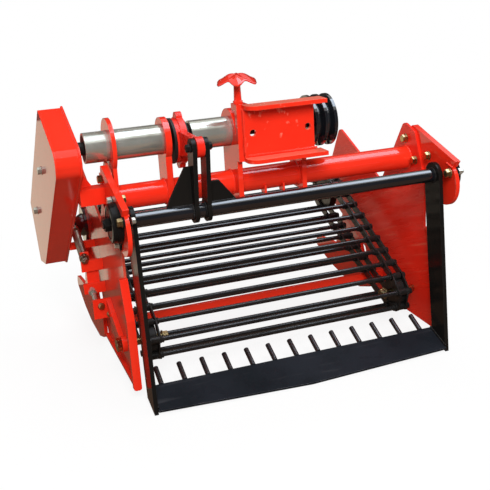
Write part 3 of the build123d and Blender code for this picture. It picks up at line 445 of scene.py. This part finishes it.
# %% Dress the CAD pieces
finish_table = [
    ("arm_", black), ("fingers", rod_black), ("lever_plates", black), ("lever_gussets", black),
    ("pivot_tube", tube_black), ("pivot_bearings", black), ("axle_bearings", tube_black),
    ("blade", blade_black), ("belt_pulley", tube_black), ("lever_pin", zinc),
    ("shaft_guards", zinc), ("pivot_pins", black), ("stub_axles", gold), ("tension_s", zinc),
    ("drive_shaft", oiled), ("eccentric_rod", cast_red), ("eccentric", oiled),
    ("shaft_bearings", rubber), ("housing_seals", rubber), ("side_chain", oiled),
    ("rods_", rod_black), ("front_wheels", oiled), ("sprockets", oiled), ("rear_axle", oiled),
    ("side_plate_left", red_painted_shade_and_reflection), ("side_plate_right", sheet_red),
    ("chain_case_cover", cover_red), ("hitch_bracket", scraped_red_painted_reflection),
]
for name, obj in nodes.items():
    material = next((value for start, value in finish_table if name.startswith(start)), red)
    if not obj.data.materials:
        obj.data.materials.append(material)
    for index in range(len(obj.data.materials)):
        obj.data.materials[index] = material
print("dressed", len(nodes), "CAD pieces")

# %% [markdown]
# Many parts of the machine are turned or cut from plate, so their meshes are rings of points with
# faces between them. `ring` places the points, `skin` puts the faces on, and `turned` makes a
# turned shape of them. `piece_from` makes the result a piece, smooth except at its sharp edges.

# %% Mesh helpers


def ring(bm, count, place):
    """A ring of points, each placed by a function of its angle."""
    return [bm.verts.new(place(2 * math.pi * i / count)) for i in range(count)]


def skin(bm, rings, capped=True):
    """Faces between rings. The ends get caps, or else the last ring is joined to the first."""
    for lower, upper in zip(rings, rings[1:] if capped else rings[1:] + rings[:1]):
        for i in range(len(lower)):
            j = (i + 1) % len(lower)
            bm.faces.new((lower[i], lower[j], upper[j], upper[i]))
    if capped:
        bm.faces.new(list(reversed(rings[0])))
        bm.faces.new(rings[-1])


def turned(bm, profile, sides):
    """Adds a turned shape about Z from (radius, height) pairs, closed at both ends."""
    skin(bm, [ring(bm, sides, lambda a: (radius * math.cos(a), radius * math.sin(a), height))
              for radius, height in profile])


def piece_from(name, bm, material, body, smooth_deg=40.0):
    """Turns a bmesh into a finished piece, which rides on a body if one is named."""
    bmesh.ops.recalc_face_normals(bm, faces=bm.faces)
    mesh = bpy.data.meshes.new(name)
    bm.to_mesh(mesh)
    bm.free()
    mesh.materials.append(material)
    piece = bpy.data.objects.new(name, mesh)
    scene.collection.objects.link(piece)
    mesh.shade_smooth()
    mesh.set_sharp_from_angle(angle=math.radians(smooth_deg))
    if body is not None:
        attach(piece, body)
    print(name, len(mesh.polygons), "faces")
    return piece


print("four mesh helpers ready")

# %% [markdown]
# What repeats is made with Geometry Nodes: bolts, links, sleeves and beads. `new_tree` and
# `end_tree` make the two ends of a tree, and `grow` runs one and keeps the plain mesh, so nothing
# live is left in the file.

# %% Tree helpers


def new_tree(name, inputs):
    """A Geometry Nodes tree with named inputs, and the sockets of its input node."""
    tree = bpy.data.node_groups.new(name, "GeometryNodeTree")
    outside = tree.interface
    outside.new_socket("Geometry", in_out="INPUT", socket_type="NodeSocketGeometry")
    for label, kind, value in inputs:
        socket = outside.new_socket(label, in_out="INPUT", socket_type=kind)
        if value is not None:
            socket.default_value = value
    outside.new_socket("Geometry", in_out="OUTPUT", socket_type="NodeSocketGeometry")
    return tree, add_node(tree, "NodeGroupInput").outputs


def end_tree(tree, geometry, material):
    """Ends a tree: the copies become real geometry, get their finish and go out."""
    real = add_node(tree, "GeometryNodeRealizeInstances", {"Geometry": geometry})
    painted = add_node(tree, "GeometryNodeSetMaterial", {
        "Geometry": real.outputs["Geometry"], "Material": material})
    add_node(tree, "NodeGroupOutput", {"Geometry": painted.outputs["Geometry"]})
    print(tree.name, "tree has", len(tree.nodes), "nodes")


def grow(name, mesh, tree, values, body):
    """Runs a tree on a mesh and returns the result as a plain piece that rides on a body."""
    source = bpy.data.objects.new(name + "_source", mesh)
    scene.collection.objects.link(source)
    modifier = source.modifiers.new("grow", "NODES")
    modifier.node_group = tree
    for item in tree.interface.items_tree:
        if item.in_out == "INPUT" and item.name in values:
            modifier[item.identifier] = values[item.name]
    bpy.context.view_layer.update()
    evaluated = source.evaluated_get(bpy.context.evaluated_depsgraph_get())
    plain = bpy.data.meshes.new_from_object(evaluated)
    plain.name = name
    bpy.data.objects.remove(source)
    piece = bpy.data.objects.new(name, plain)
    scene.collection.objects.link(piece)
    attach(piece, body)
    print(name, len(plain.polygons), "faces")
    return piece


print("three tree helpers ready")

# %% [markdown]
# Bolts and chain parts are copies of a model, each turned and sized in its own way. One tree does
# it for both: it reads a turn and a size along each axis from every point of a bare mesh, and puts
# the model there. A bolt's turn is the way it faces, and a chain part's is three angles, so the
# node that reads it is the only thing that differs.

# %% Scatter trees


def scatter_tree(name, turner, turner_input, **turner_options):
    """A tree that stands a model on each point; the turner node reads the point's turn."""
    tree, given = new_tree(name, [
        ("Model", "NodeSocketObject", None), ("Finish", "NodeSocketMaterial", None)])
    turn, size = [add_node(tree, "GeometryNodeInputNamedAttribute", {"Name": label},
                           data_type="FLOAT_VECTOR").outputs["Attribute"]
                  for label in ("turn", "size")]
    model = add_node(tree, "GeometryNodeObjectInfo", {"Object": given["Model"]})
    facing = add_node(tree, turner, {turner_input: turn}, **turner_options)
    copies = add_node(tree, "GeometryNodeInstanceOnPoints", {
        "Points": given["Geometry"], "Instance": model.outputs["Geometry"],
        "Rotation": facing.outputs["Rotation"], "Scale": size})
    end_tree(tree, copies.outputs["Instances"], given["Finish"])
    return tree


def points_mesh(name, rows):
    """A mesh of bare points from rows of a place, a turn and three sizes in millimetres."""
    mesh = bpy.data.meshes.new(name)
    mesh.from_pydata([place for place, turn, size in rows], [], [])
    for label in ("turn", "size"):
        mesh.attributes.new(label, "FLOAT_VECTOR", "POINT")
    turns, sizes = mesh.attributes["turn"].data, mesh.attributes["size"].data
    for index, (place, turn, size) in enumerate(rows):
        turns[index].vector = turn
        sizes[index].vector = [v / 1000 for v in size]
    return mesh


fastener_tree = scatter_tree("fasteners", "FunctionNodeAlignRotationToVector", "Vector", axis="Z")
chain_tree = scatter_tree("chain_parts", "FunctionNodeEulerToRotation", "Euler")

# %% [markdown]
# A hexagon head has a washer under it and a chamfer that turns its corners round. The models are
# made once for a width of one across the flats, standing on Z, and the tree scales and turns each
# copy. A nut shows the thread of its bolt, so it has a stub with a few grooves.

# %% Model bolt and nut


def hexagon_head(bm, low, high, chamfer):
    """Adds a hexagonal prism of one across the flats, with a chamfered top."""
    corner = 1 / math.sqrt(3)
    turned(bm, [(corner, low), (corner, high - chamfer), (corner * 0.86, high)], 6)


bolt_bm = bmesh.new()
turned(bolt_bm, [(0.66, 0.0), (0.66, 0.10), (0.62, 0.13)], 18)
hexagon_head(bolt_bm, 0.12, 0.66, 0.09)
bolt_model = piece_from("bolt_model", bolt_bm, gold, None)
nut_bm = bmesh.new()
turned(nut_bm, [(0.68, 0.0), (0.68, 0.10), (0.64, 0.13)], 18)
hexagon_head(nut_bm, 0.12, 0.80, 0.08)
thread = []
for groove in range(4):
    thread += [(0.30, 0.80 + groove * 0.10), (0.26, 0.85 + groove * 0.10)]
turned(nut_bm, [(0.30, 0.6)] + thread + [(0.24, 1.2)], 12)
nut_model = piece_from("nut_model", nut_bm, gold, None)

# %% [markdown]
# Each bearing of the pivot sits behind a pressed flange with three lobes, one for each bolt. Its
# rim follows the angle: a round middle that swells out to a lobe wherever a bolt stands, with a
# neck between the two. A thick ring stands on the flange round the bearing.

# %% Bearing flanges
flange_bolts = top_a, top_b, low_c = (95, 396), (17, 375), (70, 319)
flange_y, flange_z = 60, 364
flange_core, lobe, neck_base, neck_half_angle = 37.0, 10.5, 33.0, 0.62
flange_face = end_out + 3.6
plate_profile = ((0.0, 0.0), (2.6, 0.0), (3.6, 1.0), (3.6, 5.0))
ring_profile = ((10.0, 26.2), (10.0, 36.5), (16.5, 36.5), (19.0, 34.0), (19.6, 29.0), (18.0, 26.2))


def flange_radius(angle):
    """How far the flange's rim is from its middle, in millimetres."""
    radius = flange_core
    for y, z in flange_bolts:
        reach_out = math.hypot(y - flange_y, z - flange_z)
        off = angle - math.atan2(z - flange_z, y - flange_y)
        ahead, aside = reach_out * math.cos(off), reach_out * math.sin(off)
        if ahead > 0 and abs(aside) < lobe:
            radius = max(radius, ahead + math.sqrt(lobe ** 2 - aside ** 2))
        near = max(0.0, 1 - abs(math.remainder(off, 2 * math.pi)) / neck_half_angle)
        radius = max(radius, flange_core + (reach_out - neck_base) * near ** 1.3)
    return radius


def on_flange(side, out, radius, angle):
    """A point by its height over the end plate, its radius and its angle."""
    return at(side * (end_out + out), flange_y + radius * math.cos(angle),
              flange_z + radius * math.sin(angle))


for side, side_name in ((-1, "left"), (1, "right")):
    flange_bm = bmesh.new()
    skin(flange_bm, [
        ring(flange_bm, 120, lambda a: on_flange(side, out, flange_radius(a) - inset, a))
        for out, inset in plate_profile])
    skin(flange_bm, [ring(flange_bm, 48, lambda a: on_flange(side, out, radius, a))
                     for out, radius in ring_profile], capped=False)
    piece_from("bearing_flange_" + side_name, flange_bm, black, "frame", 30.0)

# %% [markdown]
# Every fastener is a row of numbers: the side it is on, how far out its seat is, its place along
# and up, and its width across the flats. `beside` makes points of such rows, and one run of the
# tree makes all that share a finish.

# %% Put the fasteners on
beam_bolt, hanger_bolt = (187, 417), (148, 377)
heads = [(-1, flange_face, top_b, 14), (-1, end_out, beam_bolt, 14)]
inner_heads = [(1, side_in, beam_bolt, 15), (1, side_in, hanger_bolt, 14),
               (1, side_in, top_a, 14), (-1, side_in, beam_bolt, 14),
               (-1, side_in, top_a, 14), (1, side_in, top_b, 15)]
slide_heads = [(side, x, z) for side in (-1, 1) for x, z in ((346, 128), (330, 108))]
case_heads = [(319, 420), (494, 295)]
slide_y, case_out, wheel_in = 279.5, -428, 252
lever_x, lever_y, lever_z, lever_half = -180, 46, 484, 16
pale_heads = [(-1, flange_face, top_a, 13), (-1, flange_face, low_c, 12),
              (1, flange_face, low_c, 12)]
stud_nuts = [(1, flange_face, top_a, 12), (1, flange_face, top_b, 12)]
inner_nuts = [(-1, side_in, top_b, 11)]
to_left, to_front = Vector((-1, 0, 0)), Vector((0, -1, 0))


def beside(rows, facing):
    """Points on the faces of both sides: facing 1 looks outwards, -1 towards mid width."""
    return [(at(side * x, y, z), Vector((side * facing, 0, 0)), (flats,) * 3)
            for side, x, (y, z), flats in rows]


bolts = beside(heads, 1) + beside(inner_heads, -1)
bolts += [(at(side * x, slide_y, z), to_front, (11,) * 3) for side, x, z in slide_heads]
bolts += beside([(side, wheel_in, front_wheel_yz, 19) for side in (-1, 1)], -1)
pale_bolts = beside(pale_heads, 1)
pale_bolts += [(at(case_out, y, z), to_left, (13,) * 3) for y, z in case_heads]
lever_heads = [(at(lever_x + side * lever_half, lever_y, lever_z), Vector((side, 0, 0)),
                (13,) * 3) for side in (-1, 1)]
for name, rows, model, material, body, material_slot in (
        ("frame_bolts", bolts, bolt_model, gold, "frame", "zinc_plate"),
        ("pale_bolts", pale_bolts, bolt_model, zinc, "frame", "zinc_plate"),
        ("frame_nuts", beside(stud_nuts, 1), nut_model, zinc, "frame", "zinc_plate"),
        ("inner_nuts", beside(inner_nuts, -1), bolt_model, zinc, "frame", "zinc_plate"),
        ("lever_nuts", lever_heads, bolt_model, black, "shovel", "black_paint")):
    grow(name, points_mesh(name, rows), fastener_tree, {"Model": model, "Finish": material},
         body)
bpy.data.objects.remove(bolt_model)
bpy.data.objects.remove(nut_model)

# %% [markdown]
# A weld bead is a row of overlapping ripples along a joint. The tree takes a line, divides it
# into short steps, swells its radius in a wave, and draws a small round section along it. The line
# lies right in the corner of the joint, so half the bead is buried in the steel.

# %% Weld tree
weld_tree, given = new_tree("weld_bead", [
    ("Size", "NodeSocketFloat", 0.0022), ("Ripple", "NodeSocketFloat", 0.18),
    ("Pitch", "NodeSocketFloat", 0.0022), ("Step", "NodeSocketFloat", 0.0008),
    ("Seed", "NodeSocketInt", 3), ("Finish", "NodeSocketMaterial", None)])
drawn = add_node(weld_tree, "GeometryNodeMeshToCurve", {"Mesh": given["Geometry"]})
even = add_node(weld_tree, "GeometryNodeResampleCurve", {
    "Curve": drawn.outputs["Curve"], "Length": given["Step"]}, mode="LENGTH")
along = add_node(weld_tree, "GeometryNodeSplineParameter").outputs["Length"]
uneven = add_node(weld_tree, "FunctionNodeRandomValue", {
    2: -0.12, 3: 0.12, "Seed": given["Seed"]}, data_type="FLOAT").outputs[1]
section = add_node(weld_tree, "GeometryNodeCurvePrimitiveCircle", {"Resolution": 7, "Radius": 1.0})
phase = reckon(weld_tree, "DIVIDE", along, given["Pitch"])
wave = reckon(weld_tree, "SINE", reckon(weld_tree, "MULTIPLY", phase, math.pi))
swell = reckon(weld_tree, "MULTIPLY_ADD", reckon(weld_tree, "ABSOLUTE", wave), given["Ripple"], 1.0)
swell = reckon(weld_tree, "ADD", swell, uneven)
bead = add_node(weld_tree, "GeometryNodeCurveToMesh", {
    "Curve": even.outputs["Curve"], "Profile Curve": section.outputs["Curve"],
    "Scale": reckon(weld_tree, "MULTIPLY", swell, given["Size"]), "Fill Caps": True})
smooth = add_node(weld_tree, "GeometryNodeSetShadeSmooth", {"Geometry": bead.outputs["Mesh"]})
end_tree(weld_tree, smooth.outputs["Geometry"], given["Finish"])

# %% [markdown]
# The beads go round the main beam where it passes a plate, along the bracket's straps and the
# sloping flange bars, and, on the shovel, round the pivot tube and along the blade's ends.

# %% Weld beads


def lines_mesh(name, lines):
    """A mesh of edges from lists of points; a closed line ends at its first point."""
    points, edges = [], []
    for line in lines:
        closed = (line[0] - line[-1]).length < 1e-6
        first = len(points)
        kept = line[:-1] if closed else line
        points += kept
        edges += [(first + i, first + i + 1) for i in range(len(kept) - 1)]
        if closed:
            edges.append((first + len(kept) - 1, first))
    mesh = bpy.data.meshes.new(name)
    mesh.from_pydata(points, edges, [])
    return mesh


def ring_line(x, y, z, radius, count=24):
    """Points round a circle that faces along X, in millimetres."""
    angles = [math.radians(360.0 * i / count) for i in range(count + 1)]
    return [at(x, y + radius * math.cos(a), z + radius * math.sin(a)) for a in angles]


beam_y, beam_z = (beam.y - corner_y) * 1000, beam.z * 1000
beam_radius, tube_radius = 24.4, 14.0
red_welds = [ring_line(x, beam_y, beam_z, beam_radius)
             for x in (-side_in, side_in, -309, -213, -201, -76, -66, 64, 74)]
red_welds += [
    [at(-60, 120, 439), at(84, 120, 439)], [at(-66, 120, 445), at(-66, 120, 530)],
    [at(-66, 128, 440), at(-66, 128, 530)], [at(24, 168, 361), at(28, 168, 361)],
]
red_welds += [[at(side * end_out, 18, 386), at(side * end_out, 175, 431)] for side in (-1, 1)]
red_welds += [[at(side * side_out, 14, 385.5), at(side * side_out, 36, 391.5)] for side in (-1, 1)]
black_welds = [ring_line(x, flange_y, flange_z, tube_radius)
               for x in (-arm_in, arm_in, -196.5, -187.5, -172.5, -163.5)]
black_welds += [[at(-235, 57, 377), at(-197, 57, 377)], [at(-163, 57, 377), at(-112, 57, 377)]]
black_welds += [[at(side * arm_in, 3, 14.5), at(side * arm_in, 62, 34)] for side in (-1, 1)]
grow("red_beads", lines_mesh("red_lines", red_welds), weld_tree,
     {"Finish": red, "Size": 0.0019}, "frame")
grow("black_beads", lines_mesh("black_lines", black_welds), weld_tree,
     {"Finish": black, "Size": 0.0020}, "shovel")

# %% [markdown]
# The conveyor's two side chains are rows of flat links that join one rod to the next, with a
# sleeve on each rod between them. The rods stand at even steps along a loop round the wheels, so
# the same rule gives the place, slope and length of every link. They replace the plain CAD bands.

# %% Where the rods are
rod_count, first_rod = 25, 10.0
front_reach, rear_reach = 37.0, 47.0
rear_yz = ((rear_axle.y - corner_y) * 1000, rear_axle.z * 1000)
centres = math.hypot(rear_yz[0] - front_wheel_yz[0], rear_yz[1] - front_wheel_yz[1])
slope = math.atan2(rear_yz[1] - front_wheel_yz[1], rear_yz[0] - front_wheel_yz[0])
taper = math.asin((front_reach - rear_reach) / centres)
straight = centres * math.cos(taper)
rear_arc = rear_reach * (math.pi - 2 * taper)
front_arc = front_reach * (math.pi + 2 * taper)
loop_length = 2 * straight + rear_arc + front_arc
top_slope, low_slope = slope - taper, slope + taper
top_normal, low_normal = top_slope + math.pi / 2, low_slope - math.pi / 2


def about(wheel_yz, radius, angle):
    """A side-view point on a circle round a wheel."""
    return wheel_yz[0] + radius * math.cos(angle), wheel_yz[1] + radius * math.sin(angle)


def on_loop(distance):
    """The side-view point at a distance along the chain, in millimetres."""
    distance %= loop_length
    if distance < straight:
        y, z = about(front_wheel_yz, front_reach, top_normal)
        return y + distance * math.cos(top_slope), z + distance * math.sin(top_slope)
    distance -= straight
    if distance < rear_arc:
        return about(rear_yz, rear_reach, top_normal - distance / rear_reach)
    distance -= rear_arc
    if distance < straight:
        y, z = about(rear_yz, rear_reach, low_normal)
        return y - distance * math.cos(low_slope), z - distance * math.sin(low_slope)
    return about(front_wheel_yz, front_reach, low_normal - (distance - straight) / front_reach)


rod_step = loop_length / rod_count
rods = [on_loop(first_rod + i * rod_step) for i in range(rod_count)]
print("rods every", round(rod_step, 1), "mm")

# %% [markdown]
# A link is a flat bar with round ends and a narrow waist, and a sleeve is a short turned tube with
# eased edges. Both are modelled one unit long, and the size of each copy stretches them.

# %% Model link and sleeve
link_end, end_points = 0.20, 9
outline = []
for end, start_deg in ((1, -75), (0, 105)):
    for i in range(end_points):
        angle = math.radians(start_deg + 150 * i / (end_points - 1))
        outline.append((end + link_end * math.cos(angle), link_end * math.sin(angle)))
link_bm = bmesh.new()
skin(link_bm, [[link_bm.verts.new((x, y, z)) for y, z in outline] for x in (-0.5, 0.5)])
link_model = piece_from("link_model", link_bm, oiled, None)
sleeve_bm = bmesh.new()
turned(sleeve_bm, [(0.44, -0.5), (0.5, -0.46), (0.5, 0.46), (0.44, 0.5)], 12)
sleeve_model = piece_from("sleeve_model", sleeve_bm, oiled, None)

# %% [markdown]
# Every other pair of links stands inside the one before it, as in any chain. A sleeve sits on each
# rod between the links, with a thin washer outside them and a collar inside.

# %% Chains
inner_x, outer_x, stagger, link_thick, link_tall = 264, 288, 3.2, 3.0, 44.0
sleeve_sizes = ((276, 15.0, 17.0), (294, 13.0, 2.5), (259.5, 14.0, 3.5))
for side, side_name in ((-1, "left"), (1, "right")):
    link_rows, sleeve_rows = [], []
    for i in range(rod_count):
        (y0, z0), (y1, z1) = rods[i], rods[(i + 1) % rod_count]
        length, tilt = math.hypot(y1 - y0, z1 - z0), math.atan2(z1 - z0, y1 - y0)
        inward = stagger if i % 2 else 0.0
        link_rows += [(at(side * x, y0, z0), (tilt, 0, 0), (link_thick, length, link_tall))
                      for x in (inner_x + inward, outer_x - inward)]
        sleeve_rows += [(at(side * x, y0, z0), (0, math.pi / 2, 0), (across, across, long))
                        for x, across, long in sleeve_sizes]
    links = grow("links_" + side_name, points_mesh("link_points", link_rows), chain_tree,
                 {"Model": link_model, "Finish": oiled}, "frame")
    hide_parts("side_chain_" + side_name)
    grow("sleeves_" + side_name, points_mesh("sleeve_points", sleeve_rows), chain_tree,
         {"Model": sleeve_model, "Finish": oiled}, "frame")
bpy.data.objects.remove(link_model)
bpy.data.objects.remove(sleeve_model)

# %% [markdown]
# The chain in the case is kept tight by a close-wound spring on a long bolt. A spiral curve gives
# its turns, and a round section drawn along it gives the wire. It stands for the plain CAD sleeve,
# together with the bolt and nut that run through it.

# %% Spring tree
spring_tree, given = new_tree("coil_spring", [
    ("Turns", "NodeSocketFloat", 22.0), ("Radius", "NodeSocketFloat", 0.007),
    ("Length", "NodeSocketFloat", 0.1), ("Wire", "NodeSocketFloat", 0.0014),
    ("Finish", "NodeSocketMaterial", None)])
spiral = add_node(spring_tree, "GeometryNodeCurveSpiral", {
    "Resolution": 20, "Rotations": given["Turns"], "Start Radius": given["Radius"],
    "End Radius": given["Radius"], "Height": given["Length"]})
section = add_node(spring_tree, "GeometryNodeCurvePrimitiveCircle", {
    "Resolution": 8, "Radius": given["Wire"]})
wire = add_node(spring_tree, "GeometryNodeCurveToMesh", {
    "Curve": spiral.outputs["Curve"], "Profile Curve": section.outputs["Curve"],
    "Fill Caps": True})
smooth = add_node(spring_tree, "GeometryNodeSetShadeSmooth", {"Geometry": wire.outputs["Mesh"]})
joined = add_node(spring_tree, "GeometryNodeJoinGeometry", {
    "Geometry": smooth.outputs["Geometry"]})
spring_tree.links.new(given["Geometry"], joined.inputs["Geometry"])
end_tree(spring_tree, joined.outputs["Geometry"], given["Finish"])

# %% [markdown]
# The bolt, its nut and the spring's two seats are turned about Z, in metres, and the tree adds the
# spring to them. The finished piece is then turned along the conveyor's slope and moved into place.

# %% Spring and its bolt
hexagon = 0.013 / math.sqrt(3)
core_bm = bmesh.new()
for profile, sides in (
        (((0.0035, -0.016), (0.004, -0.015), (0.004, 0.103), (0.0035, 0.104)), 14),
        (((hexagon * 0.9, -0.014), (hexagon, -0.013), (hexagon, -0.0075),
          (hexagon * 0.9, -0.0065)), 6),
        (((0.0098, -0.0065), (0.0104, -0.006), (0.0104, 0.001), (0.0098, 0.0016)), 18),
        (((0.0080, 0.090), (0.0084, 0.091), (0.0084, 0.098), (0.0080, 0.099)), 18)):
    turned(core_bm, profile, sides)
core_mesh = bpy.data.meshes.new("spring_core")
core_bm.to_mesh(core_mesh)
core_bm.free()
spring = grow("coil_spring", core_mesh, spring_tree, {
    "Turns": 24.0, "Radius": 0.0078, "Length": 0.082, "Wire": 0.0016, "Finish": dull_zinc},
    "frame")
spring_foot, spring_turn = at(-363, 330, 223), slope - math.pi / 2
spring.data.transform(Matrix.Translation(spring_foot) @ Matrix.Rotation(spring_turn, 4, "X"))
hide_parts("tension_spring")
print("spring", [round(v, 4) for v in spring.dimensions])

# %% [markdown]
# The hand knob is pressed from sheet steel: pointed lobes that droop at their tips, with valleys
# between them that grip the fingers. Its height and reach both follow the angle, so a grid of rings
# and spokes shapes it better than joined cylinders would, and Solidify gives the sheet its wall.

# %% Hand knob
lock_low, lock_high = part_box("lock_screw")
lock_x, lock_y = (lock_low.x + lock_high.x) / 2, (lock_low.y + lock_high.y) / 2
knob_top = lock_high.z - 0.0020
lobes, spokes, rings_out = 6, 84, 9
first_lobe = math.radians(11)
valley_reach, lobe_reach = 0.0330, 0.0090
valley_drop, lobe_drop, droop = 0.0090, 0.0085, 1.8
ridge_height, ridge_span = 0.0030, 1.2
knob_bm = bmesh.new()
tip = knob_bm.verts.new((lock_x, lock_y, knob_top))
grid = []
for step in range(1, rings_out + 1):
    share_out = step / rings_out
    row = []
    for spoke in range(spokes):
        angle = 2 * math.pi * spoke / spokes
        wave = 0.5 + 0.5 * math.cos(lobes * (angle - first_lobe))
        radius = (valley_reach + lobe_reach * wave) * share_out
        drop = (valley_drop + lobe_drop * wave) * share_out ** droop
        ridge = ridge_height * math.sin(math.pi * min(1.0, share_out * ridge_span)) * wave
        row.append(knob_bm.verts.new((lock_x + radius * math.cos(angle),
                                      lock_y + radius * math.sin(angle), knob_top - drop + ridge)))
    grid.append(row)
for spoke in range(spokes):
    beyond = (spoke + 1) % spokes
    knob_bm.faces.new((tip, grid[0][spoke], grid[0][beyond]))
    for inner, outer in zip(grid, grid[1:]):
        knob_bm.faces.new((inner[spoke], outer[spoke], outer[beyond], inner[beyond]))
knob = piece_from("hand_knob", knob_bm, pressed_red, "frame", 60.0)
wall = knob.modifiers.new("wall", "SOLIDIFY")
wall.thickness = 0.0022
wall.offset = -1
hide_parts("lock_screw")

# %% [markdown]
# The knob's stem is a plain turned bar with a collar at its foot, and it widens under the cap.

# %% Knob stem
stem_bm = bmesh.new()
stem_top = lock_high.z - 0.006
turned(stem_bm, [(0.0095, lock_low.z + 0.0001), (0.0095, lock_low.z + 0.005),
                 (0.0075, lock_low.z + 0.006), (0.0062, stem_top - 0.006), (0.0085, stem_top)], 24)
bmesh.ops.translate(stem_bm, verts=stem_bm.verts, vec=(lock_x, lock_y, 0))
piece_from("knob_stem", stem_bm, red, "frame")

# %% [markdown]
# The chain case is a folded box on a back plate that stands a few millimetres proud all round. The
# lip is made from the cover's own outline: its corners are found, put in order round the middle and
# moved outwards along the edges' normals.

# %% Case lip
cover_low, cover_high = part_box("chain_case_cover")
back_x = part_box("chain_case")[1].x
lip_width = 0.0035
lip_profile = ((-0.0042, 0.0012), (-0.0032, 0.0), (-0.0004, 0.0), (0.0004, 0.0012))
corners = {(round(v.co.y, 5), round(v.co.z, 5)) for v in nodes["chain_case_cover"].data.vertices}
mid_case = ((cover_low.y + cover_high.y) / 2, (cover_low.z + cover_high.z) / 2)
ordered = sorted(corners, key=lambda p: math.atan2(p[1] - mid_case[1], p[0] - mid_case[0]))
lip_points = []
for i, (y, z) in enumerate(ordered):
    (y0, z0), (y1, z1) = ordered[i - 1], ordered[(i + 1) % len(ordered)]
    tangent = Vector((y1 - y0, z1 - z0)).normalized()
    lip_points.append((y + tangent.y * lip_width, z - tangent.x * lip_width))
lip_bm = bmesh.new()
lip_rows = []
for behind, inset in lip_profile:
    row = []
    for y, z in lip_points:
        away = Vector((y - mid_case[0], z - mid_case[1])).normalized() * inset
        row.append(lip_bm.verts.new((back_x + behind, y - away.x, z - away.y)))
    lip_rows.append(row)
skin(lip_bm, lip_rows)
piece_from("case_lip", lip_bm, red, "frame")

# %% [markdown]
# New pieces stand a little proud of the CAD model in places, as bolt heads do. The CAD model's box
# is written down.

# %% The CAD model's size
print("CAD box", [round(v, 4) for v in cad_high - cad_low])
